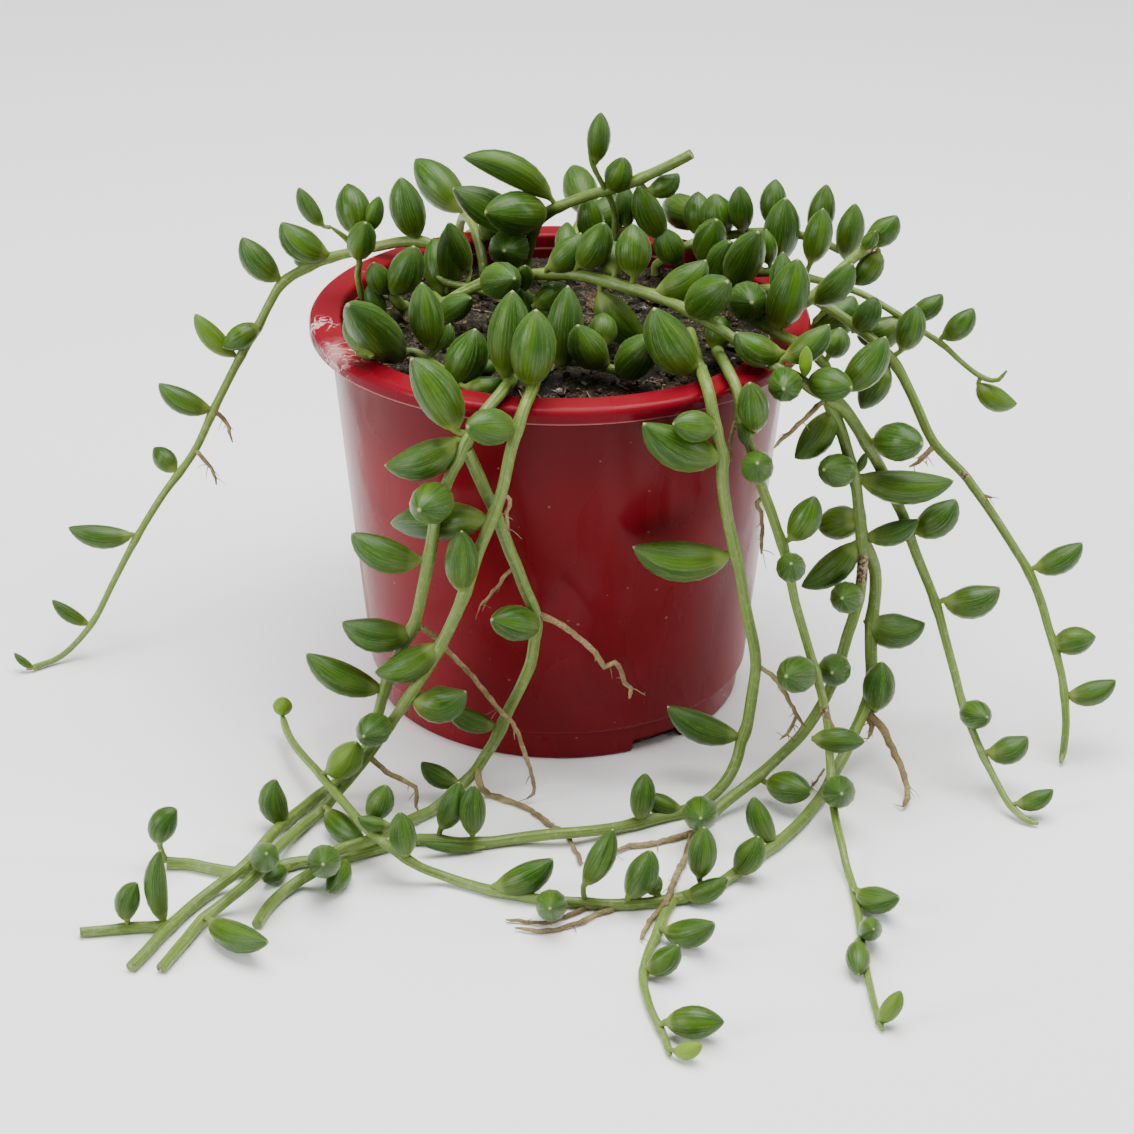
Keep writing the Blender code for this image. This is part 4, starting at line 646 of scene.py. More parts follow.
# %% The stems, from root to growing end
STRANDS = {
    "far_left": [on(-20, 87.5, 75), at(-23, 93, -27), at(-26.5, 95.6, -27), at(-31, 95.8, -28.5),
        at(-36, 94.8, -30.5), at(-40.8, 93.6, -31.5), at(-45.6, 92.3, -31.5), at(-50, 90.3, -31),
        at(-55, 87.1, -30), at(-57.9, 82.5, -29), at(-60.5, 77.3, -28), at(-64, 71.3, -27),
        at(-69.7, 60, -23), at(-74.4, 50, -19), at(-81.4, 40, -15), at(-87.4, 30, -11), at(-92.6, 20, -8),
        at(-96.6, 12, -5), at(-101, 6, -3), on(-105.5, 2, 1.3), on(-112, -0.6, 1.0)],
    "left_side": [on(-38, 80, 75), at(-39.4, 84.2, -8), at(-40.2, 88.5, -7), at(-39.9, 92.2, -6),
        at(-42, 96, -4), at(-45.2, 98.7, -2)],
    "front_left": [on(-7, 70, 75), on(-9, 67.8, 79.5), at(-11.3, 64.3, 44.8), at(-12.8, 62.3, 48.5),
        at(-15, 59.5, 52), at(-17, 56, 53.5), at(-19, 52.5, 54.5), at(-20.5, 48.5, 55), at(-22.3, 45, 55),
        at(-25, 37, 55), at(-26.3, 29, 54), at(-28.2, 19, 53), at(-30, 11, 52.5), at(-33.3, 4, 52),
        at(-36, -3, 52), at(-38, -10.5, 51.5), at(-40.5, -18.5, 51), at(-43.5, -22.8, 52),
        at(-47, -27.5, 54.3), on(-51, -30.7, 1.8), on(-54.6, -34, T), on(-58.6, -37.7, T),
        on(-61.7, -40.8, 2.3), on(-66.6, -47.2, 4.2), on(-70.4, -51.1, 3.4), on(-73.9, -54, 1.8),
        on(-79.4, -58.9, T), on(-85.6, -65.3, T), on(-90.3, -71, T), on(-94, -75.2, T)],
    "front_left_fork": [at(-18.9, 51.2, 54.6), at(-17, 46.5, 53), at(-15, 41.5, 51.2),
        at(-13.3, 37.5, 50.5), at(-12, 34, 50.2), at(-10.2, 28.5, 50), at(-8.5, 24, 50), at(-7, 19.5, 50),
        at(-5, 14.5, 50), at(-4.5, 11.5, 50), at(-4.9, 7, 50), at(-5.6, 2, 49.5), at(-7, -2, 49.5),
        at(-8.7, -6, 49), at(-10.5, -10, 49), at(-12, -14, 49), at(-13.5, -17.5, 49.5),
        at(-15.5, -21, 50), at(-17.3, -24.3, 51), at(-19.5, -27, 52.5), at(-22, -29.6, 55),
        on(-24.5, -32.2, 2.2), on(-27.5, -34.8, T), on(-31, -36.6, 1.4), on(-35, -38.7, 2.7),
        on(-39, -41.3, 4.2), on(-43, -43, 4.6), on(-47, -44.4, 4.7), on(-50.3, -46.6, 4.7),
        on(-52.7, -50, 3.6), on(-55.9, -52.3, 1.8), on(-59.8, -55.6, T), on(-63.3, -59.7, T),
        on(-65.7, -63.8, T)],
    "front_left_end": [on(-84.6, -64.2, 1.5), on(-88, -64.6, 1.3), on(-92.6, -64.8, 1.1),
        on(-98.2, -65.5, 1.1), on(-104.8, -66.2, 1.1)],
    "front_inner": [on(-3, 70, 75), on(-4.6, 67, 79.5), at(-5.4, 64.8, 44), at(-6, 63, 47.6),
        at(-6.8, 61.2, 50.5), at(-8, 57.5, 53), at(-9.4, 52.5, 54.5), at(-10.1, 49.5, 55),
        at(-11.8, 41, 55.5), at(-14.2, 34, 56), at(-16.8, 27, 56), at(-19, 19.5, 56.5), at(-22, 11.5, 57),
        at(-25, 5, 57.5), at(-29, -2.5, 58), at(-33.5, -10, 58.5), at(-38, -17, 58), at(-41.2, -22, 58),
        at(-45, -27.3, 59), at(-48, -31, 60.3), on(-50.3, -34.2, 2.2), on(-53.4, -37.2, T),
        on(-57.3, -41, 1.9), on(-60.7, -44.6, 4), on(-64.7, -50.3, 6.3), on(-68.6, -54.4, 5),
        on(-71.9, -57.5, 2.8), on(-77, -62.3, T), on(-82.1, -68.7, T), on(-87.3, -75.5, T)],
    "front_right": [on(26, 73.5, 75), on(27.8, 70.5, 80.4), at(28.4, 69, 33.5), at(29, 67.5, 38.7),
        at(29.7, 65.5, 42.6), at(30.5, 62.5, 45), at(31.5, 57.5, 46.5), at(32.5, 53, 47),
        at(33.4, 49.8, 47.2), at(33.4, 46, 47), at(33.9, 41, 46.5), at(35, 35, 46), at(36.4, 29, 46),
        at(37.9, 22.5, 45.5), at(39, 16.5, 45), at(40.2, 11, 45), at(41.3, 6, 45), at(41.8, 1.5, 45),
        at(41.5, -3, 45.5), at(41, -8, 46), at(40.4, -13, 46.5), at(39.3, -17, 47), at(38.6, -21, 48.3),
        at(37.2, -25, 50.5), at(35.2, -28.3, 53), on(32.2, -31.5, 2), on(29, -33.7, T), on(24, -35.3, T),
        on(19, -36.8, T), on(13, -38.4, 1.6), on(6, -39.5, 2.6), on(-1, -40.2, 2.6), on(-8, -41.2, 1.5),
        on(-15, -42.4, T), on(-21, -42.6, T), on(-27, -41.8, T), on(-32, -41.9, T), on(-37, -43.6, T),
        on(-43, -45.6, T), on(-49, -47.2, T), on(-55, -47.6, T), on(-60, -48.9, T), on(-65, -50.2, T),
        on(-70, -50.4, T), on(-75.3, -49.5, T), on(-80, -48.4, T), on(-84.7, -48.2, T)],
    "right_long": [on(31.5, 76, 75), on(31.6, 73.6, 79.8), at(32.4, 71.6, 25), at(33.4, 69.8, 32),
        at(34.4, 67.8, 37), at(35.6, 65.2, 40), at(36.5, 61.5, 42), at(36.9, 58, 42.5),
        at(37.9, 55, 42.5), at(39, 52, 42.5), at(40.3, 47, 42.5), at(42, 42, 43), at(43.5, 38, 43),
        at(45.2, 33, 43.5), at(46.8, 28.5, 44), at(48.1, 23, 44.3), at(49.4, 17, 44.8),
        at(51, 11.5, 45.3), at(52.8, 5.5, 46), at(54.5, 0, 46.7), at(55.9, -5, 47.5), at(57, -9.5, 48.5),
        at(57.8, -14, 50), at(58.2, -18.5, 51.5), at(58.6, -23, 54), at(59, -27.5, 57.5),
        at(59.6, -32, 63), at(60.6, -37, 69.5), at(62, -42.5, 76.5), on(63.3, -48, 2), on(64.9, -53, T),
        on(66, -58, T), on(66.9, -63, T), on(67.7, -68, T), on(68.8, -74, T), on(70.1, -79.5, T),
        on(71.3, -84.3, T), on(72.6, -88.5, 1.0), on(73.4, -90.8, 0.8)],
    "over_crown": [on(-25.5, 81, 75), on(-23.3, 82.8, 82), at(-20, 84.8, -4), at(-16, 86.9, -3),
        at(-12, 88, -1), at(-8.5, 88.6, 0), at(-5, 89.1, 2), at(0, 89.3, 4), at(3, 89.2, 5),
        at(6, 88.6, 7), at(10, 87.5, 9), at(15, 86, 12), at(20, 84.3, 15), at(24, 82.5, 18),
        at(27, 80.7, 20), at(30, 78.9, 22), at(33, 77, 24), at(35.5, 75.2, 25.5), at(38, 73.4, 27.5),
        at(41, 71.3, 29.5), at(44, 69.4, 32), at(47, 67.7, 32.5), at(49.3, 66.3, 32.5),
        at(51.5, 64.5, 32), at(54, 62.8, 31.5)],
    "right_middle": [at(54, 62.8, 31.5), at(55.7, 59.5, 30.5), at(57.2, 56, 30), at(58.5, 52, 30),
        at(60, 47, 30), at(61, 43, 30), at(61.6, 39, 30), at(62.2, 35, 30), at(62.8, 31, 30),
        at(63.1, 27, 30), at(63.1, 22, 30.3), at(62.6, 17.5, 31), at(61.8, 13, 32), at(60.8, 9, 33),
        at(59.9, 4.5, 34.5), at(58.9, 0, 36), at(57.6, -4, 38), at(56.2, -7.5, 39.5),
        at(54.8, -10.5, 41.5), at(53, -13.7, 43.5), at(51, -16.6, 45.5), at(48.5, -19.5, 48),
        at(45.7, -22.7, 50.7), at(43, -25.7, 53.7), at(40, -28.5, 56.5), on(37, -31.3, 3.2),
        on(34, -34.5, 1.8), on(32.3, -36.9, T)],
    "right_outer": [at(54, 62.8, 31.5), at(56.8, 61.5, 31.3), at(59.3, 58.3, 30), at(61.8, 54.3, 29),
        at(64, 50.5, 28), at(66.2, 46.5, 27), at(68.7, 41.2, 26.5), at(71, 36.5, 26.5), at(72.6, 32, 27),
        at(74.3, 27.5, 27.5), at(76, 23.5, 28), at(77.8, 19.2, 29), at(79.5, 14.5, 30.3), at(81, 9.5, 32),
        at(82.5, 4.5, 34), at(84, -0.5, 36.5), at(85.4, -5.5, 39.5), at(87, -10, 42.5), at(89, -15, 46),
        at(91.2, -20, 49), at(94, -25.5, 53), at(97, -31, 57.3), on(99.6, -34.1, 1.8), on(102, -36, 1.0),
        on(104.3, -36.7, 0.9)],
    "front_low": [at(62.8, 31.3, 30), at(64.4, 28.3, 29), at(65.7, 24.5, 28.5), at(66.1, 20.5, 28.5),
        at(66, 16.5, 29), at(65.7, 12.5, 30), at(65.7, 8.5, 31), at(66, 4, 32.5), at(66.3, 0, 34),
        at(66.2, -4, 36), at(65.4, -8.5, 38.5), at(64, -12.5, 41), at(62.6, -16.5, 43.3),
        at(61.2, -20.5, 45.5), at(59.4, -24.5, 48.8), at(58.1, -28.2, 52.3), on(56.7, -31, T),
        on(55, -33.5, T), on(52.7, -36.8, T), on(50.3, -39.6, T), on(47.7, -42.2, T), on(45, -44.6, T),
        on(42, -47.2, T), on(39, -49.9, T), on(36, -52.2, T), on(32.5, -54.3, T), on(29, -55.7, T),
        on(25, -56.8, T), on(20, -57.5, T), on(15, -57.9, T), on(10, -57.9, T), on(3, -57.4, T),
        on(-3, -56.9, T), on(-8, -56, T), on(-14, -54.7, T), on(-20, -52.8, T), on(-25, -50.8, 2),
        on(-29.5, -48.8, 3.8), on(-34, -45.6, 6), on(-38.3, -41.8, 7.3), on(-41.8, -38.2, 7.5),
        on(-45.3, -33.4, 8), on(-48.3, -29.3, 8.4), on(-51.5, -24.7, 7.9), on(-54, -21.5, 7),
        on(-56.2, -18.2, 6.6), on(-57.6, -15, 6.2), on(-58.4, -11.5, 6)],
    "front_foot": [on(25.6, -56.7, T), on(24.2, -59.5, T), on(23.2, -63, T), on(22, -66.5, T),
        on(20.7, -70, T), on(19.8, -74, T), on(19.5, -78, T), on(20.1, -81, T), on(21.2, -85, T),
        on(22.7, -88.7, T), on(24.2, -92, 1.1), on(25.2, -95, 1.0), on(26, -98, 0.8)],
    "far_right": [on(33, 83, 75), at(36, 85.5, -13), at(41, 86.3, -9), at(46, 85.9, -6), at(51, 84, -3),
        at(56, 80.8, 0), at(61, 77, 2), at(64, 74.5, 4), at(66.3, 71.9, 5), at(68.4, 69, 6),
        at(70, 66, 7), at(71.6, 62.8, 8), at(73.2, 59.3, 9), at(74.8, 55.8, 10), at(76.8, 52.5, 11),
        at(79.9, 49.2, 12), at(83, 46, 13), at(85.2, 43, 14), at(87.4, 40, 15), at(89.8, 36.5, 16),
        at(92.3, 32.7, 17.5), at(94.8, 28.8, 19), at(97.2, 25, 20.5), at(99.2, 21, 22), at(101.2, 16, 24),
        at(102.8, 11, 26), at(104.3, 7, 27.5), at(105.5, 3, 29.5), at(106.5, -0.5, 31),
        at(107.3, -4.5, 33), at(107.9, -8.5, 34.5), at(108.3, -12.5, 36), at(108.3, -16, 37),
        on(108.2, -19, 2), on(107.9, -21.4, 1.1)],
    "right_bud": [on(25.5, 87, 75), at(31, 89.4, -23), at(39, 89.8, -15.5), at(44, 90, -13),
        at(50, 88.6, -10), at(56, 87, -8), at(61, 85, -6), at(66, 82, -4), at(72.5, 77.6, -1),
        at(75, 76, 0), at(77.5, 74.1, 1), at(80, 71.7, 2), at(82.7, 69.4, 3), at(85, 67.8, 4),
        at(87.2, 67, 5), at(88.5, 67.2, 5.5), at(90, 69.2, 6)],
    "top_cut": [on(-6.8, 89, 75), at(-6.4, 94.5, -35.5), at(-5.4, 98, -34.5), at(-4.4, 100.2, -33),
        at(-2.4, 102.2, -32), at(0.5, 103.7, -30), at(5, 105.6, -28), at(9, 106.7, -26), at(13, 108, -25),
        at(16.5, 109.7, -24), at(20, 111.4, -23), at(23, 113, -22), at(25.4, 114.4, -21.5)],
    "top_shoot": [on(10, 89, 75), at(10.3, 94.5, -32.5), at(10.8, 99.3, -31), at(10.4, 103, -28.5),
        at(9, 106.5, -26), at(7.6, 109, -25), at(6.2, 112, -24), at(5.3, 115.5, -23.5)],
    "back_right": [on(19, 88, 75), at(21.5, 93, -30.5), at(26, 95.8, -29.5), at(31, 97.2, -29),
        at(38, 98.3, -28), at(43, 98.2, -26), at(48, 97.6, -24), at(52, 96.3, -22), at(56, 94, -20)],
    "right_pair": [on(29, 84, 75), at(31, 85.3, -3), at(33, 84, 4), at(36, 81.5, 9), at(39, 79.5, 13),
        at(42, 78, 16), at(45, 76.1, 18.5), at(47.5, 75, 20), at(51, 72.5, 22), at(54.5, 69, 23)],
    "right_pair_fork": [at(39.5, 79.2, 13.5), at(42, 79.8, 14), at(45, 81, 13), at(50, 84.5, 12),
        at(54, 89, 10), at(58, 93, 8), at(61.5, 95.8, 7), at(63.7, 96.7, 6)],
    "crown_left": [on(-19, 65.5, 75), on(-19.6, 65.8, 79.2), on(-22, 67.3, 79.6), on(-26.5, 70.5, 80),
        on(-29.5, 72.3, 80.4), on(-33, 71.5, 81), on(-37, 71.5, 82.4), on(-41, 72, 83.4)],
    "crown_back": [on(-14, 83.5, 75), at(-14.5, 85, -19), at(-17.5, 86, -16.5), at(-22, 87, -16),
        at(-24.5, 88.5, -17)],
    "crown_middle": [on(14, 69.5, 75), on(13.6, 69, 79.3), on(11, 68.8, 79.6), on(8, 69.5, 79.4),
        on(4.5, 70.3, 79.3), on(1, 70, 79.8)],
    "crown_sprig": [on(-5.5, 75.5, 75), at(-5.3, 79.5, 2), at(-5, 82.5, 3)],
    "left_middle": [on(-31, 79, 75), at(-31.5, 82, -8.5), at(-33, 84, -7), at(-34, 86, -6.5)],
    "back_trail": [(2, 33, 75), (2.6, 36.5, 79.6), (3.3, 40.5, 83), (5, 47, 84), (7, 52.5, 81),
        (8.5, 55, 74), (9.5, 55.5, 60), (9, 55, 44), (7.5, 55, 28), (6, 57, 14), (5, 61, 4), (3, 68, T),
        (-2, 76, T), (-9, 82, T), (-17, 86, 1.2), (-24, 87.5, 1.0)],
    "back_hang": [(-16, 31, 75), (-16.6, 35, 80.3), (-17.8, 40, 83.1), (-20, 47.5, 84),
        (-21.5, 52.5, 80.5), (-22.5, 54, 72), (-22, 53.5, 58), (-20.5, 53, 44), (-19.5, 52.5, 31)],
}
print("strands:", len(STRANDS))

# %% [markdown]
# ## Where the leaves and the roots grow
#
# A leaf is written as its base and its tip as they show, and its width. Most leaves stand about square to
# the line of sight. A leaf that shows short for its width points towards the eye or away from it, and its
# true length tells how far. The thin brown threads are aerial roots, which a creeping stem puts out to
# find soil.

# %% The leaves
# Each leaf: where its base and its tip show, its width, how far its tip leans towards the eye (1 and -1
# let its true length say) and, where it isn't by rule, how far it arches to its left as a share of its
# width.
LEAVES = {
    "far_left": [(-110.4, -0.3, -114.4, 3.4, 1.8, 0), (-98.2, 10.3, -105.6, 16, 3.1, 0),
        (-88, 31.2, -101.2, 32.8, 4.9, 0), (-78.4, 45.6, -82.6, 50.9, 4.5, -1),
        (-70.6, 59.5, -80.9, 65.2, 5, 0), (-65.2, 71.2, -72.9, 80.3, 4.5, 0),
        (-60.2, 77.7, -67.6, 72.9, 5, 1), (-55.7, 87.7, -62.8, 96.6, 5.9, 0),
        (-45.9, 93, -55, 99.8, 6.5, 0), (-50, 90.6, -52.2, 93.4, 3.5, -1),
        (-28.2, 96.6, -31.3, 109.3, 7, 0)],
    "left_side": [(-46.8, 99, -51.4, 107, 3.8, 0), (-39.8, 97, -41.8, 107.9, 7, -1),
        (-37.5, 98, -35.6, 105.3, 3.6, -1), (-40.1, 92.4, -38.4, 99.8, 5.8, 1)],
    "front_left": [(-21, 55.3, -30, 71, 9, 0, -0.1), (-21, 53.2, -35.7, 47.3, 7.6, 0),
        (-23.6, 40.3, -28.8, 37.2, 8.6, 1), (-28.6, 25.8, -42.8, 32, 7.4, 0),
        (-30.7, 9, -45.3, 11.3, 7.2, 0), (-37.2, -4.7, -53, 3.8, 6.8, 0),
        (-86, -63.3, -86, -44.8, 5.2, 0, 0.3), (-58.2, -38, -60.2, -26.8, 6.2, 0, 0.33),
        (-11, 67, -9.5, 85.8, 8.8, 0)],
    "front_left_end": [(-94.2, -63, -91.4, -53.2, 5.6, 0, 0.2)],
    "front_left_fork": [(-4.2, 10.5, -14, 12, 7.5, 1), (-13, -13.3, -23.5, -8.5, 5, 0),
        (-21, -27.5, -29, -22.3, 4.7, 0), (-50.2, -46.9, -50.8, -48.3, 7.4, 1)],
    "front_inner": [(-20.2, 18.8, -20, 32.7, 7, 0), (-14.9, 35.3, -34.7, 34.2, 8, -14, 0),
        (-25.5, 6, -38.7, -0.7, 7, 0), (-30.5, -7, -19.3, -5, 8, 0), (-6.2, 65, -4.8, 81.8, 9.2, 0),
        (-76, -62.8, -63.2, -68.4, 6.6, 0), (-49.3, -34.4, -41.3, -42.6, 5.8, 0),
        (-37, -13, -41.3, -16.3, 7.2, 1), (-9.6, 56, -18.8, 56, 7.6, 1),
        (-63.8, -47.4, -63, -45.6, 6.6, 12)],
    "front_right": [(33, 50, 17, 57.2, 8.5, 0), (31.5, 56, 23, 57, 6.5, 0, 0),
        (35.3, 27.5, 15.3, 29.3, 8.5, 0), (38.8, -15.5, 23.3, -8.3, 6.5, 0),
        (27, -33.5, 19, -29.5, 4.8, 0), (17.8, -36.3, 19, -24.7, 5.5, 0),
        (30.9, -33.6, 31.2, -36, 7.6, 12), (-16, -43.5, -30, -42.5, 2.5, 0),
        (-18.2, -40.5, -18, -28, 5.8, 0), (-25, -39, -21, -27.2, 6, 0), (-46, -47.5, -50, -55.3, 5, 0),
        (-86.1, -43.3, -81.9, -34.4, 6.2, 0, 0.2), (-58.8, -49.4, -64.1, -52.5, 4.4, 0, 0),
        (27.5, 68.5, 18.7, 82.3, 9.2, 0)],
    "right_long": [(40, 55.7, 38.3, 66.3, 6.5, 1), (37, 58, 38.3, 52, 2.5, 0),
        (31, 73.2, 32.6, 80.6, 5.4, -4), (40.5, 46.6, 40.5, 48.4, 6.8, 1),
        (47.7, 31.2, 52.5, 41.2, 6.5, 0), (48.3, 23.8, 48.3, 25.6, 6.2, 1), (52.6, 0, 48.2, -1, 8, 1),
        (54.5, -16, 65.8, -16.7, 5.5, -1), (60, -28.6, 61.4, -29.6, 7.2, 1), (66, -54, 75.3, -55.5, 6, 0),
        (68.6, -64, 70, -64, 5.2, 1), (66.5, -67.5, 67.3, -76, 5.5, 1), (72.3, -88.5, 76.8, -80, 4.5, 0)],
    "over_crown": [(-14.5, 87.3, -9, 88.2, 7.5, 1), (-7, 86, -7, 91, 3.5, 1), (-2.5, 90.5, 4, 98, 6, 0),
        (3.5, 91, 8.5, 100.2, 6.7, 0), (8, 85.5, 17.5, 74.5, 7.5, 0), (19, 85.5, 28.8, 92.5, 6.8, 0),
        (26, 81.5, 33.3, 88, 8, 1), (44.8, 72.7, 35.2, 77.2, 6.6, 0), (45, 71.5, 53.8, 79, 5.8, 0),
        (0.8, 92, 1.3, 100.2, 4.4, -4), (-24, 80, -17.7, 84, 5.5, 6), (14.6, 88.8, 14.2, 100, 7.2, -3),
        (49.4, 67.7, 49.5, 74.2, 2.8, 5), (50.5, 66.5, 59, 65.3, 7, 1), (45.8, 66.8, 45.2, 64.8, 7, 1),
        (10.8, 89.6, 9.8, 96, 6, -5)],
    "right_middle": [(55, 60, 48, 49.5, 6.5, 0), (59.5, 46.7, 54, 47, 7, 1), (61.5, 45.5, 81, 44.8, 7, 0),
        (61, 46.5, 62.5, 51, 2, 0), (63.5, 32, 74.2, 36, 5, 0), (61.7, 36, 53.8, 34, 7, -1),
        (61.5, 30.5, 50.5, 20.2, 6.5, 0), (61, 17.9, 59.2, 17.6, 6.8, 1), (58.9, 1.3, 57.9, -0.1, 7, 1),
        (45.3, -27, 54.8, -29.3, 7, 1)],
    "right_outer": [(57, 65, 65.2, 76.5, 7, 0), (64.5, 53.7, 74, 53, 8, 1), (73, 33.5, 81.5, 40.7, 7, 0),
        (80.5, 17.3, 92, 20.5, 7, 0), (86.5, -9.2, 91.5, -10.5, 6.2, 1), (92, -19, 100.3, -15, 6, 0),
        (99, -31.7, 106.8, -28, 4.3, 0)],
    "front_low": [(64.5, 12.3, 77, 12, 7.5, 0), (67.5, -9, 68.3, 2.8, 7, 0),
        (47.3, -42, 42.5, -30.3, 5.5, 0, 0.2), (39, -49.5, 43.8, -40.3, 6.5, 0),
        (31.3, -51, 32, -38, 6.5, 0), (28, -55.5, 37.5, -50.8, 5, 0), (22.5, -55.5, 20.5, -49.3, 4.5, 0),
        (15.8, -56, 20.5, -44, 7, 0), (6.2, -53, 12.2, -38.7, 6, 0), (-0.7, -57.6, -1.3, -59.2, 7, 1),
        (-13.5, -53.5, -0.7, -46.3, 7, 0), (-32.5, -46, -33.8, -34.8, 6, 0),
        (-40.5, -36.5, -36.8, -28, 6, 0), (-36, -38, -43, -36, 3.5, 0), (-49.3, -25, -43, -17.5, 7, 0),
        (-58.4, -11.2, -58.2, -6.8, 4.2, 0, 0)],
    "front_foot": [(23.8, -64.5, 35, -62.5, 6.5, 0), (20, -75, 27, -68.3, 6, 0),
        (24.7, -89, 38, -88.8, 7.5, 0, 0), (26.5, -96.5, 33, -94.5, 4, 0)],
    "far_right": [(34, 87, 39, 98.5, 7.5, 9), (50.6, 78.2, 58.4, 85.2, 7.5, 0),
        (58.5, 77.5, 62.8, 85, 5.4, 0), (66, 70, 61, 60.5, 6, -1), (68.5, 73.5, 71, 83.2, 6, 0),
        (98.8, 25, 108.3, 31, 5.5, 0), (104, 7, 113, 9, 6, 0, 0), (108, -5, 118, -1.2, 5.3, 0)],
    "right_bud": [(30.7, 88, 33.4, 96.4, 6.5, 4), (41.5, 91.5, 40.5, 99, 4, 0),
        (49.5, 92, 51.5, 103.5, 5.8, 0), (69.5, 81, 76, 85.7, 4.5, 0), (67.8, 80.6, 59.4, 76.4, 6.6, 0),
        (76.5, 76.3, 82.3, 82.8, 5, 0), (84.5, 66.3, 92.7, 62, 5, 0)],
    "top_cut": [(-2, 105, -19.3, 113.3, 6, 0, -0.35), (-3, 102, -15, 102, 8.5, 1),
        (-6, 98, -21.3, 107, 7.5, -1), (-9.2, 95, -11.2, 94, 8, 1), (17, 107, 22.9, 110.5, 4.5, 0)],
    "top_shoot": [(6.8, 112.5, 7.6, 122.8, 4.6, 0), (9.5, 106.8, 12, 113.7, 5.5, 0),
        (7, 95, 5.2, 105.7, 5.5, 0), (13, 99, 12.5, 108.2, 4.3, 0)],
    "back_right": [(20.5, 97, 15.2, 108, 6, 0), (27, 101, 20.7, 104, 7, -1),
        (27.6, 97.4, 26.8, 106.8, 6, 0), (32.4, 97.6, 30.3, 106.4, 7, 0), (36, 98.5, 35, 108, 5, 0),
        (41, 100, 42, 109.5, 5.3, 0), (42.8, 92.2, 44, 105.6, 7.3, 0), (50, 97, 52, 108.5, 5.3, 0),
        (56, 93, 57.8, 104.6, 5.5, 0), (24, 92, 20.2, 99.2, 6, 0), (28.2, 92.2, 30.7, 101, 6.5, 4)],
    "right_pair": [(54, 72, 56, 78.3, 5.6, 0), (36.6, 84, 38.2, 83.4, 8, 1),
        (42.6, 77.8, 47, 93, 8.2, 0)],
    "right_pair_fork": [(44, 84, 44, 94.3, 5, 0), (50.4, 83.8, 57.9, 92, 5.8, 0),
        (62.8, 94.6, 58, 87.6, 5.2, 0), (60, 97, 66, 102.2, 5.5, 0), (59.5, 95.5, 62, 98.8, 3, 0)],
    "crown_left": [(-32, 71, -42.5, 82.5, 9.0, 8), (-25.5, 73, -27.5, 87.3, 7, 0),
        (-24.5, 73, -22, 78.5, 3.5, 0), (-22, 65.5, -17, 77.5, 8.5, 0), (-19.4, 64.9, -11.6, 66.8, 5, 0),
        (-16.5, 68, -13.5, 71, 3.5, 0), (-37.7, 71.9, -42.6, 80.6, 6.5, -2)],
    "crown_back": [(-23.2, 84.5, -25, 96.8, 6.3, -4), (-21.5, 86.5, -22, 99.5, 5.5, 0),
        (-18, 90, -22, 100, 5, 0)],
    "crown_middle": [(0.2, 69, 1.5, 86.9, 7.4, 0), (9.5, 70, 3.5, 78.5, 7.4, 0),
        (12.5, 67.6, 18.5, 75.8, 8, 1), (8.6, 74, 8.6, 81, 5.8, -6)],
    "crown_sprig": [(-5.2, 82.4, 1.8, 86.7, 5.6, -2), (-4.5, 78, -3.8, 84.2, 3.4, 0),
        (-6.5, 79, -7.5, 86.5, 5, 0)],
    "left_middle": [(-35, 80, -38, 86.8, 4, 0), (-34, 85, -37, 91.5, 5, 0), (-33.5, 85, -29, 95, 7, 0)],
}
print("leaves read from the photograph:", sum(len(rows) for rows in LEAVES.values()))

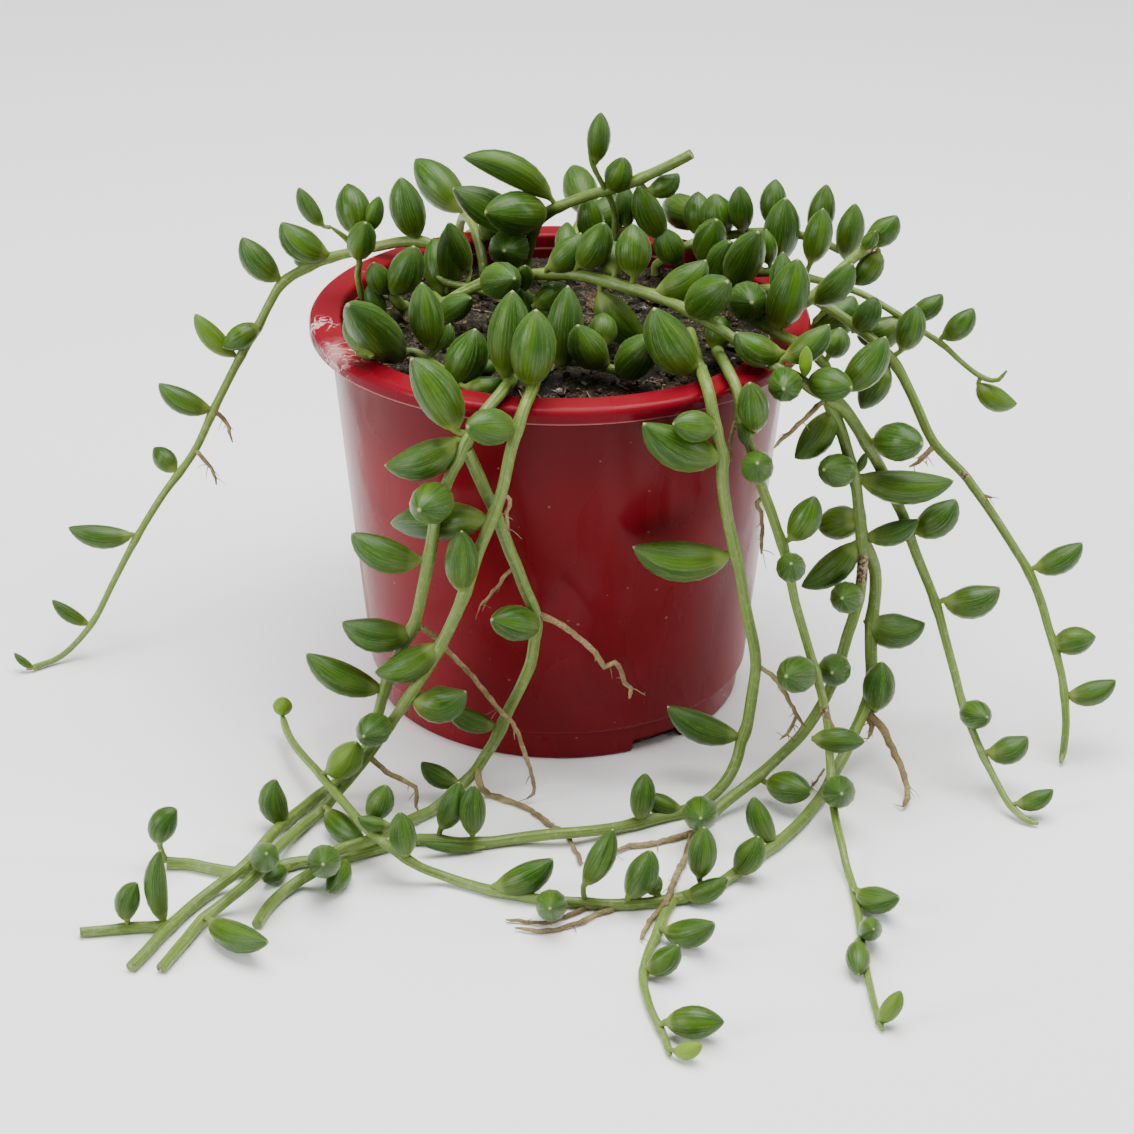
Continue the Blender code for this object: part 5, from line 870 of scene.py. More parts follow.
# %% The roots
# The roots: the stem they grow from, their thickness at both ends, and their points.
ROOTS = [
    ("far_left", 1.1, 0.7, hang(-22.5, -22, (-70.3, 59.2), (-69.4, 58.6), (-67.5, 56.4), (-66.5, 52.2))),
    ("far_left", 1.1, 0.7, hang(-19, -18, (-74.6, 50.2), (-73.8, 50), (-72.2, 48.1), (-70.6, 45.3),
        (-70.2, 42.6))),
    ("front_left", 1.3, 0.8, hang(52.3, 55.2, (-29.8, 10.8), (-26, 8), (-23.5, 5), (-20, 1), (-17, -3),
        (-14, -7), (-11.5, -10.5), (-9.5, -13), (-8, -16), (-7, -20), (-5.5, -25), (-4.8, -28.5),
        (-5, -30), (-6.5, -31.4))),
    ("front_left_fork", 0.9, 0.7, hang(50, 50, (-8.6, 24.6), (-11, 22.5), (-12, 20.5), (-13.5, 18.5),
        (-16.3, 15.2))),
    ("front_left_fork", 1.5, 0.9, hang(50, 50, (-4.8, 13.6), (0, 11.3), (4, 8.3), (6.5, 6), (8.5, 3.5),
        (10, 1), (12, 2), (13.5, 0), (14.3, -3), (15.5, -4), (15.3, -6.5))),
    ("front_left_fork", 1.4, 0.9, [at(-17, -23.8, 51), at(-16.5, -28, 54)] + lie(0.6, (-14.5, -30.5),
        (-11, -31.8), (-7, -33.3), (-4, -35.5), (-1, -38), (2, -40), (3.5, -43), (5, -46), (5.3, -48))),
    ("front_inner", 0.9, 0.7, hang(55.5, 55.5, (-11.6, 41), (-9.9, 39.5), (-10.7, 37), (-10.3, 33))),
    ("front_inner", 1.3, 0.8, hang(58, 59.7, (-40.4, -21), (-36.5, -25), (-33, -27), (-30.5, -28.5),
        (-30, -30.5), (-30.3, -33.5), (-29.7, -34.8))),
    ("front_right", 1.2, 0.8, hang(45, 47.5, (41.8, 1.8), (45, -0.5), (47, -3), (48.5, -5.5), (50, -8.5),
        (51.3, -11), (53, -13.2))),
    ("front_right", 0.8, 0.6, hang(46.8, 47.4, (50.9, -10.4), (49.5, -14), (47.5, -16.4))),
    ("right_long", 0.9, 0.7, hang(42.5, 42.5, (36.8, 60), (35.3, 56), (34.9, 53), (35.5, 49.5))),
    ("right_long", 1.0, 0.7, hang(43, 43, (42.4, 41), (40.8, 39.5), (41.5, 37.5), (42, 35), (42, 31),
        (42, 27.7))),
    ("right_long", 1.2, 0.9, hang(49, 51, (57, -9.5), (58.3, -13), (60, -16), (61, -18))),
    ("over_crown", 1.2, 0.8, hang(31.5, 40.5, (54, 62.5), (52, 61), (50, 58.5), (46, 54.5),
        (43.8, 51.8))),
    ("right_middle", 1.5, 0.9, [on(32.6, -36.9, T)] + lie(0.75, (30, -39.5), (25, -41), (20, -42.5),
        (16, -43), (12.5, -44.8))),
    ("right_middle", 1.6, 1.0, lie(0.85, (29.5, -40.2), (28, -46), (26.5, -50)) + lie(2.6, (25, -54.5),
        (24, -57.5)) + lie(0.85, (21.5, -61), (20, -64), (18.8, -67))),
    ("front_low", 1.1, 0.8, lie(0.7, (13, -58), (12, -59.5), (9, -60.5), (6, -62.5), (2, -64), (-3, -65),
        (-9, -64.3))),
    ("front_low", 1.0, 0.7, lie(0.6, (8, -57.8), (4, -60.3), (0, -62), (-3, -63), (-8, -62.4),
        (-11, -62.2))),
    ("front_low", 1.8, 1.1, hang(38.5, 57, (65.4, -8.7), (69, -13), (71, -17), (73, -21), (74.5, -25),
        (75.3, -28), (75.5, -30.5), (74.8, -32.6))),
    ("front_low", 1.4, 1.0, hang(38.6, 42, (65.2, -9.2), (67, -13), (66.3, -16))),
    ("far_right", 1.3, 0.9, hang(11, 12, (76.6, 52.7), (75.5, 51.5), (74, 49.5), (71.5, 47.8))),
    ("far_right", 1.2, 1.0, hang(14.6, 15, (86.2, 41.6), (89, 41))),
]
print("roots:", len(ROOTS))

# %% Which strands make one leafy stem, and how thick each is
NODES = {
    "stem_far_left": ["far_left"],
    "stem_left_side": ["left_side"],
    "stem_front_left": ["front_left", "front_left_fork", "front_left_end"],
    "stem_front_inner": ["front_inner"],
    "stem_front_right": ["front_right"],
    "stem_right_long": ["right_long"],
    "stem_over_crown": ["over_crown", "right_middle", "right_outer", "front_low", "front_foot"],
    "stem_far_right": ["far_right"],
    "stem_right_bud": ["right_bud"],
    "stem_top": ["top_cut", "top_shoot"],
    "stem_back_right": ["back_right"],
    "stem_right_pair": ["right_pair", "right_pair_fork"],
    "stem_crown_left": ["crown_left"],
    "stem_crown_back": ["crown_back"],
    "stem_crown_middle": ["crown_middle"],
    "stem_crown_sprig": ["crown_sprig"],
    "stem_left_middle": ["left_middle"],
    "stem_back_trail": ["back_trail"],
    "stem_back_hang": ["back_hang"],
}
NODE_OF = {strand: node for node, strands in NODES.items() for strand in strands}
STEM_THICK, STEM_END = 2.4, 2.2
THICKNESS = {
    "far_left": (2.5, 1.2), "far_right": (2.4, 1.6), "right_long": (2.5, 1.3),
    "right_outer": (2.6, 1.3), "front_low": (2.6, 1.6), "front_foot": (2.2, 1.2),
    "right_bud": (2.2, 1.0), "front_left_end": (2.2, 1.9), "top_shoot": (1.9, 1.0),
    "left_side": (1.9, 1.0), "crown_sprig": (1.8, 1.2), "right_pair_fork": (2.3, 1.9),
    "back_right": (2.2, 1.6), "back_trail": (2.3, 1.5), "back_hang": (2.3, 1.4),
    "crown_middle": (2.0, 1.6), "crown_back": (2.0, 1.5), "crown_left": (2.3, 1.6),
}
ROOTED_AT = 75
ROOTED = [name for name, points in STRANDS.items() if abs(points[0][2] - ROOTED_AT) < 0.01]


def thickness(strand):
    return THICKNESS.get(strand, (STEM_THICK, STEM_END))


print("leafy stems:", len(NODES), "and of all strands", len(ROOTED), "are rooted in the soil")

# %% Draw a smooth path through each stem's points
STEP = 1.5
ROOTING_DEPTH = 6.4
UNDER_SOIL, OVER_SOIL = 0.6, 1.6


def smooth(points, step):
    """A curve through the points, with one about every step."""
    run = np.array(points, float)
    run = np.vstack([2 * run[0] - run[1], run, 2 * run[-1] - run[-2]])
    curve = []
    for a, b, c, d in zip(run[:-3], run[1:-2], run[2:-1], run[3:]):
        count = max(1, int(round(np.linalg.norm(c - b) / step)))
        for t in np.arange(count) / count:
            bend = (2 * a - 5 * b + 4 * c - d) * t * t + (3 * b - a - 3 * c + d) * t ** 3
            curve.append(0.5 * (2 * b + (c - a) * t + bend))
    curve.append(run[-2])
    curve = np.array(curve)
    curve[:, 2] = np.maximum(curve[:, 2], min(LYING, float(run[1:-1, 2].min())))
    return curve


def stem_points(strand):
    """A rooted stem also goes straight down into the soil."""
    points = list(STRANDS[strand])
    if strand in ROOTED:
        x, y, _ = points[0]
        heights = (SOIL_LINE - ROOTING_DEPTH, SOIL_LINE - UNDER_SOIL, SOIL_LINE + OVER_SOIL)
        points = [(x, y, height) for height in heights] + points[1:]
    return points


paths = {strand: smooth(stem_points(strand), STEP) for strand in STRANDS}
print("stem paths:", sum(len(path) for path in paths.values()), "points")

# %% [markdown]
# ## Let the leaves find their room
#
# The photograph gives a leaf's place across and up, but not its depth. So each leaf starts as deep as its
# stem, and is then leaned a little to or from the eye, step after step, until it is clear of its
# neighbours, the stems, the pot and the table. It keeps the same place in the front view the whole time.
# While this goes on a leaf is stood in for by a row of balls, because the distance between two balls is
# quick to find.

# %% The pot, the soil and the table, as distances
WALL = 1.3
FOOT_HEIGHT, LOW_RADIUS, FLARE = 6.8, 39.2, 0.0974
LIP_RADIUS, LIP_INNER, SKIRT_BOTTOM, POT_HEIGHT = 50.0, 43.6, 78.3, 81.5
UNDER_SKIRT = 2
SOIL_EDGE = LIP_INNER + 0.5
FAR_AWAY = 99.0


def wall_radius(height):
    return LOW_RADIUS + FLARE * (height - FOOT_HEIGHT)


def solid_distance(points):
    """How far points lie outside the pot, the soil and the table."""
    around, height = np.hypot(points[..., 0], points[..., 1]), points[..., 2]
    wall = np.abs(around - wall_radius(height) + WALL / 2) - WALL / 2
    body = np.where(height < SOIL_LINE, around - wall_radius(height), wall)
    body = np.where(height > SKIRT_BOTTOM, FAR_AWAY, body)
    middle, half = (LIP_RADIUS + LIP_INNER) / 2, (LIP_RADIUS - LIP_INNER) / 2
    rise = (POT_HEIGHT + SKIRT_BOTTOM - UNDER_SKIRT) / 2
    half_rise = (POT_HEIGHT - SKIRT_BOTTOM + UNDER_SKIRT) / 2
    across, above = np.abs(around - middle) - half, np.abs(height - rise) - half_rise
    lip = np.where((across < 0) & (above < 0), np.maximum(across, above),
                   np.hypot(np.maximum(across, 0), np.maximum(above, 0)))
    soil_below = np.where(around < SOIL_EDGE, height - SOIL_LINE, FAR_AWAY)
    return np.minimum(np.minimum(body, lip), np.minimum(soil_below, height))


print("the wall's radius under the lip is", round(wall_radius(SKIRT_BOTTOM), 1), "mm")

# %% From a point in space to how it shows, and back
def seen_at(points):
    """Where points show on the upright plane, and how far forward of it they are."""
    share = EYE[1] / (EYE[1] - points[..., 1])
    plane = EYE + (points - EYE) * share[..., None]
    return plane[..., 0], plane[..., 2], -points[..., 1]


def in_space(across, up, forward):
    share = (1 - forward / -EYE[1])[..., None]
    plane = np.stack([across, np.zeros_like(across), up], -1)
    return EYE + (plane - EYE) * share


# %% One leaf, as it shows and as it stands in space
# A leaf is stood in for by balls at these shares of its length. The first is on its stalk.
STATIONS = np.array([-0.5, 0.0, 0.2, 0.42, 0.64, 0.84, 0.97])
FREE_OVER_SOIL = 0.5
NOWHERE = 1e9


def girth(share):
    """A leaf's radius along its length, as a share of its largest."""
    return np.sin(np.pi * np.clip(share, 0, 1) ** 0.85) ** 0.8


class Leaf:
    def __init__(self, strand, path, base, tip, width, arch, forward, lean):
        self.strand, self.base, self.tip, self.width, self.arch = strand, base, tip, width, arch
        shown = seen_at(path)
        free = (path[:, 2] > SOIL_LINE - FREE_OVER_SOIL) | (np.hypot(path[:, 0], path[:, 1]) > LIP_INNER)
        apart = np.where(free, np.hypot(shown[0] - base[0], shown[1] - base[1]), NOWHERE)
        nearest = int(np.argmin(apart))
        self.node = (shown[0][nearest], shown[1][nearest])
        self.neck = float(apart[nearest])
        self.rooted_at = shown[2][nearest]
        self.forward = self.rooted_at if forward is None else forward
        self.tip_forward = self.forward + lean

    def seen(self, share, base_forward, tip_forward):
        """Where the leaf's middle line shows at a share of its length."""
        (bx, by), (tx, ty) = self.base, self.tip
        reach = max(math.hypot(tx - bx, ty - by), 1e-6)
        arch = self.arch * self.width * 4 * share * (1 - share)
        across = bx + (tx - bx) * share - arch * (ty - by) / reach
        up = by + (ty - by) * share + arch * (tx - bx) / reach
        return across, up, base_forward + (tip_forward - base_forward) * share


print("a leaf is stood in for by", len(STATIONS), "balls")

# %% The leaves from the tables
LENGTH_TO_WIDTH = 1 / 0.56
SHARE_OF_LEAN = 0.9
ARCH = -0.3


def leaves_from_tables():
    leaves = []
    for strand, rows in LEAVES.items():
        for row in rows:
            base, tip, width, lean = row[0:2], row[2:4], row[4], row[5]
            shows = math.hypot(tip[0] - base[0], tip[1] - base[1])
            arch = row[6] if len(row) > 6 else (ARCH * (tip[0] - base[0]) / shows if lean == 0 else 0.0)
            if abs(lean) == 1:
                length = max(width * LENGTH_TO_WIDTH, shows)
                lean *= SHARE_OF_LEAN * math.sqrt(length ** 2 - shows ** 2)
            leaves.append(Leaf(strand, paths[strand], base, tip, width, arch, None, lean))
    return leaves


leaves = leaves_from_tables()
print("leaves:", len(leaves))

# %% The leaves behind the pot, by rule
# The photograph doesn't show these. They grow one every so often, each turned on from the last.
BEHIND = {"back_trail": 16.0, "back_hang": 15.0}
TURN_ON, TURN_SPREAD = 2.4, 0.3
LEAF_LENGTHS = (12.5, 17.0)
LEAF_SPACINGS = (8.0, 11.5)
LAST_LEAF = 2
TIP_REGION, TIP_LEAF_SIZE = 18, 0.7
STALK = 1.6
WIDTH_SHARE = 0.5
LYING_BELOW = 6
SPREAD_ACROSS = 0.02
FROM_POT, FORWARD, UPWARD = 0.75, 0.35, 0.25


def leaves_by_rule():
    grown = []
    draw = random.Random(11)
    for strand, start in BEHIND.items():
        path = paths[strand]
        along = np.concatenate([[0], np.cumsum(np.linalg.norm(np.diff(path, axis=0), axis=1))])
        turn = 0
        while start < along[-1] - LAST_LEAF:
            k = int(np.searchsorted(along, start))
            ahead = path[min(k + 1, len(path) - 1)] - path[k - 1]
            ahead /= np.linalg.norm(ahead)
            side = np.cross(ahead, [0, 0, 1.0])
            side /= np.linalg.norm(side)
            angle = TURN_ON * turn + draw.uniform(-TURN_SPREAD, TURN_SPREAD)
            out = side * math.cos(angle) + np.cross(side, ahead) * math.sin(angle)
            hanging = path[k][2] > LYING_BELOW
            clear = np.array([path[k][0] * SPREAD_ACROSS, 1.0, 0]) if hanging else np.array([0, 0, 1.0])
            out = out + FROM_POT * clear + FORWARD * ahead + np.array([0, 0, UPWARD])
            out /= np.linalg.norm(out)
            size = draw.uniform(*LEAF_LENGTHS) * (TIP_LEAF_SIZE if start > along[-1] - TIP_REGION else 1)
            ends = np.array([path[k] + out * STALK, path[k] + out * (STALK + size)])
            (bx, tx), (by, ty), (forward, tip_forward) = seen_at(ends)
            width = size * WIDTH_SHARE / (1 - forward / -EYE[1])
            lean = tip_forward - forward
            grown.append(Leaf(strand, path, (bx, by), (tx, ty), width, 0.0, forward, lean))
            start += draw.uniform(*LEAF_SPACINGS)
            turn += 1
    return grown


leaves += leaves_by_rule()
print("leaves with those behind the pot:", len(leaves))

# %% Find what is too close to a leaf
LEAF_GAP = 0.55
KIN_OVERLAP = -0.4
THINNEST_BALL = 0.45
LEAF_RANGE, STEM_RANGE = 16, 14
JOINED_LEAVES, JOINED_STEM = 0.3, 0.5


def leaf_balls(leaves, base_forward, tip_forward):
    places, radii = [], []
    for leaf, first, last in zip(leaves, base_forward, tip_forward):
        across, up, forward = leaf.seen(np.clip(STATIONS, 0, 1), first, last)
        across = np.where(STATIONS < 0, (leaf.base[0] + leaf.node[0]) / 2, across)
        up = np.where(STATIONS < 0, (leaf.base[1] + leaf.node[1]) / 2, up)
        forward = np.where(STATIONS < 0, (first + leaf.rooted_at) / 2, forward)
        places.append(in_space(across, up, forward))
        widest = girth(STATIONS) * leaf.width / 2 * (1 - forward / -EYE[1])
        radii.append(np.maximum(widest, THINNEST_BALL))
    return np.vstack(places), np.concatenate(radii)


def clear_by(apart, sight, reach):
    """How far two balls must part along the line of sight, and which way the first one goes."""
    ahead = np.einsum("ij,ij->i", apart, sight)
    beside = np.maximum((apart ** 2).sum(1) - ahead ** 2, 0)
    need = np.sqrt(np.maximum(reach ** 2 - beside, 0)) - np.abs(ahead)
    return np.where(reach ** 2 > beside, np.maximum(need, 0), 0), np.where(ahead >= 0, 1.0, -1.0)


node_names = list(NODES)
stem_places = np.vstack(list(paths.values()))
stem_radii = np.concatenate([np.linspace(*thickness(strand), len(path)) / 2
                             for strand, path in paths.items()])
stem_nodes = np.concatenate([[node_names.index(NODE_OF[strand])] * len(path)
                             for strand, path in paths.items()])
leaf_nodes = np.array([node_names.index(NODE_OF[leaf.strand]) for leaf in leaves])
ball_leaf = np.repeat(np.arange(len(leaves)), len(STATIONS))
ball_share = np.tile(STATIONS, len(leaves))


def close_pairs(places, radii, others, other_radii, within):
    apart = np.linalg.norm(places[:, None] - others[None], axis=-1)
    return apart < radii[:, None] + other_radii[None] + within


def leaves_near_leaves(places, radii):
    """Pairs of balls of different leaves, and which pairs grow on one stem."""
    near = close_pairs(places, radii, places, radii, LEAF_RANGE)
    one, two = np.where(near & (ball_leaf[:, None] < ball_leaf[None]))
    kin = leaf_nodes[ball_leaf[one]] == leaf_nodes[ball_leaf[two]]
    joined = (ball_share[one] < JOINED_LEAVES) | (ball_share[two] < JOINED_LEAVES)
    keep = ~(kin & joined)
    return one[keep], two[keep], kin[keep]


def leaves_near_stems(places, radii):
    """Pairs of a leaf's ball and a stem's point, and which pairs are of one stem."""
    mine, stem = np.where(close_pairs(places, radii, stem_places, stem_radii, STEM_RANGE))
    own = leaf_nodes[ball_leaf[mine]] == stem_nodes[stem]
    keep = ~(own & (ball_share[mine] < JOINED_STEM))
    return mine[keep], stem[keep], own[keep]


print("points on stems that leaves keep clear of:", len(stem_places))

# %% Lean the leaves apart
ROUNDS = 260
ROOM, ROOM_PER_NECK = 3.5, 0.9
SLOPE_STEP = 0.4
LEAST_SLOPE = 0.25
LARGEST_PUSH = 6
SHARE_OF_PUSH = 0.8
# the largest move in one round, its share, and the pull home, for a leaf's base and for its tip
BASE_MOVES = (2, 0.6, 0.04)
TIP_MOVES = (3, 0.8, 0.01)


def push_from_solids(places, radii, sight):
    """How far each ball must go along its line of sight to leave the pot, the soil and the table."""
    sunk = np.maximum(radii + LEAF_GAP - solid_distance(places), 0)
    step = sight * SLOPE_STEP
    slope = (solid_distance(places + step) - solid_distance(places - step)) / (2 * SLOPE_STEP)
    steepest = np.where(slope >= 0, LEAST_SLOPE, -LEAST_SLOPE)
    slope = np.where(np.abs(slope) > LEAST_SLOPE, slope, steepest)
    return np.clip(sunk / slope, -LARGEST_PUSH, LARGEST_PUSH), sunk > 0


def settle(leaves):
    first = np.array([leaf.forward for leaf in leaves])
    last = np.array([leaf.tip_forward for leaf in leaves])
    first_home, last_home = first.copy(), last.copy()
    room = ROOM + ROOM_PER_NECK * np.array([leaf.neck for leaf in leaves])
    balls = leaf_balls(leaves, first, last)
    one, two, kin = leaves_near_leaves(*balls)
    mine, stem, own = leaves_near_stems(*balls)
    weight_last = np.clip(STATIONS, 0, 1)
    weight_first = 1 - weight_last
    spread = weight_first ** 2 + weight_last ** 2
    for _ in range(ROUNDS):
        places, radii = leaf_balls(leaves, first, last)
        sight = EYE - places
        sight /= np.linalg.norm(sight, axis=1)[:, None]
        push, hits = np.zeros(len(places)), np.zeros(len(places))
        reach = radii[one] + radii[two] + np.where(kin, KIN_OVERLAP, LEAF_GAP)
        need, way = clear_by(places[one] - places[two], sight[one], reach)
        np.add.at(push, one, way * need / 2)
        np.add.at(push, two, -way * need / 2)
        np.add.at(hits, one, need > 0)
        np.add.at(hits, two, need > 0)
        reach = radii[mine] + stem_radii[stem] + np.where(own, 0.0, LEAF_GAP)
        need, way = clear_by(places[mine] - stem_places[stem], sight[mine], reach)
        np.add.at(push, mine, way * need)
        np.add.at(hits, mine, need > 0)
        out, sunk = push_from_solids(places, radii, sight)
        push += out
        hits += sunk
        push = (SHARE_OF_PUSH * push / np.maximum(hits, 1)).reshape(len(leaves), len(STATIONS))
        ends = ((first, first_home, weight_first, *BASE_MOVES), (last, last_home, weight_last, *TIP_MOVES))
        for forward, home, weight, most, rate, pull in ends:
            moves = push * (weight / spread)
            largest = np.where(-moves.min(1) > moves.max(1), moves.min(1), moves.max(1))
            forward += np.clip(largest, -most, most) * rate
            forward += (home - forward) * pull
        first = np.clip(first, first_home - room, first_home + room)
    for leaf, base_forward, tip_forward in zip(leaves, first, last):
        leaf.forward, leaf.tip_forward = base_forward, tip_forward
    return float(need.max())


print("leaves settled, the last overlap with a stem is", round(settle(leaves), 2), "mm")

# %% [markdown]
# ## One leaf as a model
#
# Every leaf has the same build: a thin stalk, a plump body that is fullest a little nearer the stalk, and
# a sharp tip. So one leaf is modelled, straight up and one unit long, and the others are copies that are
# drawn along their own lines. It starts as a UV sphere, because its rings and its UV map run from pole to
# pole, as the lines of the leaf do. Each ring is selected, resized and moved to its place.

# %% Model the leaf
LEAF_SIDES = 12
STALK_RINGS = [-0.92, -0.5, -0.12]
BLADE_RINGS = [0.025, 0.08, 0.17, 0.3, 0.44, 0.58, 0.71, 0.82, 0.905, 0.955, 0.982]
BLADE_SHARES = [0.26, 0.48, 0.715, 0.915, 1.0, 0.975, 0.84, 0.635, 0.4, 0.225, 0.085]
LEAF_BANDS = len(STALK_RINGS + BLADE_RINGS) + 1
BASE_IN_UV = (len(STALK_RINGS) + 1) / LEAF_BANDS

bpy.ops.mesh.primitive_uv_sphere_add(segments=LEAF_SIDES, ring_count=LEAF_BANDS, radius=1)
leaf_model = bpy.context.object
leaf_model.name = "leaf_model"
levels = {}
for point in leaf_model.data.vertices:
    levels.setdefault(round(point.co.z, 3), []).append(point.index)
rings = [levels[level] for level in sorted(levels)]
heights = [-1.0] + STALK_RINGS + BLADE_RINGS + [1.0]
girths = [1.0] * (1 + len(STALK_RINGS)) + BLADE_SHARES + [1.0]
bpy.ops.object.mode_set(mode="EDIT")
bpy.ops.mesh.select_mode(type="VERT")
for ring, height, wanted in zip(rings, heights, girths):
    bpy.ops.mesh.select_all(action="DESELECT")
    bpy.ops.object.mode_set(mode="OBJECT")
    for index in ring:
        leaf_model.data.vertices[index].select = True
    corner = leaf_model.data.vertices[ring[0]].co
    now, was = float(corner.z), max(math.hypot(corner.x, corner.y), 1e-6)
    bpy.ops.object.mode_set(mode="EDIT")
    if len(ring) > 1:
        bpy.ops.transform.resize(value=(wanted / was, wanted / was, 1), center_override=(0, 0, now))
    bpy.ops.transform.translate(value=(0, 0, height - now))
bpy.ops.object.mode_set(mode="OBJECT")
bpy.ops.object.shade_smooth()
print("leaf model:", len(leaf_model.data.polygons), "faces")

# %% Find a leaf's own line
BLADE_STEPS, STALK_STEPS = 24, 8
SHORTEST_STALK = 0.5


def joint_of(leaf):
    """The point in the middle of the stem that a leaf grows from."""
    return in_space(*(np.array([value]) for value in (*leaf.node, leaf.rooted_at)))[0]


def leaf_line(leaf):
    """Points from the middle of the stem, at -1, by the base of the blade, at 0, to the tip, at 1."""
    blade = np.linspace(0, 1, BLADE_STEPS + 1)
    along = in_space(*leaf.seen(blade, leaf.forward, leaf.tip_forward))
    start = joint_of(leaf)
    ahead = (along[2] - along[0]) / np.linalg.norm(along[2] - along[0])
    if np.linalg.norm(along[0] - start) < SHORTEST_STALK:
        start = along[0] - ahead * SHORTEST_STALK
    reach = np.linalg.norm(along[0] - start)
    t = np.linspace(0, 1, STALK_STEPS + 1)[:-1, None]
    stalk = (start * (2 * t ** 3 - 3 * t ** 2 + 1) + (along[0] - start) * (t ** 3 - 2 * t ** 2 + t)
             + along[0] * (3 * t ** 2 - 2 * t ** 3) + ahead * reach * (t ** 3 - t ** 2))
    return np.concatenate([np.linspace(-1, 0, STALK_STEPS + 1)[:-1], blade]), np.vstack([stalk, along])


print("a leaf's line has", len(leaf_line(leaves[0])[0]), "points")

# %% Draw a copy of the leaf along its line
WINDOW_FACES = np.array([0.0, -1.0, 0.75])
WINDOW_SPREAD = 1.1
END_ON = 0.2
SLOPE_REACH = 0.06
STALK_RADIUS, STALK_PER_WIDTH = 0.3, 0.04
ROUND_FROM_SIDES = 1.02
NECK_FADE, NECK_LEAST = 6, 0.25
POLE = 0.001
TABLE_GAP = 0.05

model_points = np.array([point.co for point in leaf_model.data.vertices])
model_height = model_points[:, 2]
model_girth = np.hypot(model_points[:, 0], model_points[:, 1])
model_turn = np.arctan2(model_points[:, 1], model_points[:, 0])


def unit(vectors):
    return vectors / np.linalg.norm(vectors, axis=-1)[..., None]


def along_line(heights, shares, line):
    return np.stack([np.interp(heights, shares, line[:, k]) for k in range(3)], -1)


def leaf_radius(leaf):
    """The radius of the leaf at each point of the model: of its blade, and of the stalk below it."""
    forward = leaf.seen(np.clip(model_height, 0, 1), leaf.forward, leaf.tip_forward)[2]
    stalk = STALK_RADIUS + STALK_PER_WIDTH * leaf.width
    blade = np.maximum(model_girth * leaf.width / 2 * ROUND_FROM_SIDES * (1 - forward / -EYE[1]), 0)
    least = stalk * np.clip(1 - model_height * NECK_FADE, NECK_LEAST, 1) * (model_girth > POLE)
    radius = np.where(model_height < 0, stalk * model_girth, np.maximum(blade, np.minimum(least, 1)))
    return np.where(model_girth < POLE, 0, radius)


def grow_leaf(leaf, name, tone):
    """A copy of the leaf model, drawn along the leaf's line, with its window to the light and the eye."""
    shares, line = leaf_line(leaf)
    middle = along_line(model_height, shares, line)
    before = along_line(model_height - SLOPE_REACH, shares, line)
    after = along_line(model_height + SLOPE_REACH, shares, line)
    ahead = unit(after - before)
    chord = unit(line[-1] - line[STALK_STEPS])
    facing = WINDOW_FACES - chord * (WINDOW_FACES @ chord)
    facing = unit(facing if np.linalg.norm(facing) > END_ON else np.cross(chord, [1.0, 0, 0]))
    turn = WINDOW_SPREAD * (tone[1] - 0.5)
    facing = facing * math.cos(turn) + np.cross(chord, facing) * math.sin(turn)
    facing = unit(facing - ahead * (ahead @ facing)[:, None])
    beside = np.cross(ahead, facing)
    around = facing * np.cos(model_turn)[:, None] + beside * np.sin(model_turn)[:, None]
    places = middle + around * leaf_radius(leaf)[:, None]
    places[:, 2] = np.maximum(places[:, 2], TABLE_GAP)
    copy = leaf_model.copy()
    copy.data = leaf_model.data.copy()
    copy.name = name
    copy.data.vertices.foreach_set("co", (places * MM).ravel())
    values = copy.data.attributes.new("tone", "FLOAT_COLOR", "POINT")
    values.data.foreach_set("color", np.tile([*tone, 1.0], len(places)))
    copy.data.update()
    bpy.context.collection.objects.link(copy)
    return copy


print("the leaf model has", len(model_points), "points")

# %% [markdown]
# ## Stems and roots
#
# A stem is round, about two millimetres thick, and swells a little wherever a leaf joins it. It is drawn
# as a curve with a round bevel, because each point of a curve has its own radius, and is then turned into
# a mesh. The roots are made the same way, thinner, more crooked and with fine side hairs. What is dry on
# a stem, its cut ends and old scars, is kept with the points as a value of its own, for the finish to
# turn brown.

# %% Draw a tube as a curve and turn it into a mesh
SAME_TUBE_POINT = 0.001 * MM
TUBE_SHARP_EDGE = math.radians(50)


def draw_tube(name, points, radii, roundness):
    """A round tube through the points, in mm, as a mesh with its ends closed."""
    curve = bpy.data.curves.new(name, "CURVE")
    curve.dimensions = "3D"
    curve.bevel_depth = MM
    curve.bevel_resolution = roundness
    curve.use_fill_caps = True
    spline = curve.splines.new("POLY")
    spline.points.add(len(points) - 1)
    for point, place, radius in zip(spline.points, points, radii):
        point.co = (*(place * MM), 1)
        point.radius = radius
    tube = bpy.data.objects.new(name, curve)
    bpy.context.collection.objects.link(tube)
    only_select(tube)
    bpy.ops.object.convert(target="MESH")
    bpy.ops.object.mode_set(mode="EDIT")
    bpy.ops.mesh.select_all(action="SELECT")
    bpy.ops.mesh.remove_doubles(threshold=SAME_TUBE_POINT)
    bpy.ops.mesh.normals_make_consistent(inside=False)
    bpy.ops.object.mode_set(mode="OBJECT")
    bpy.ops.object.shade_smooth_by_angle(angle=TUBE_SHARP_EDGE)
    return tube


def mark_tone(tube, tone, marks):
    """Keeps a tone and how dry each point is: marks is a list of (place, reach) in mm."""
    places = np.array([point.co for point in tube.data.vertices]) / MM
    dry = np.zeros(len(places))
    for place, reach in marks:
        dry = np.maximum(dry, 1 - np.linalg.norm(places - np.array(place), axis=1) / reach)
    values = tube.data.attributes.new("tone", "FLOAT_COLOR", "POINT")
    colors = np.column_stack([np.full((len(places), 3), tone), np.ones(len(places))])
    colors[:, 2] = np.clip(dry, 0, 1)
    values.data.foreach_set("color", colors.ravel())


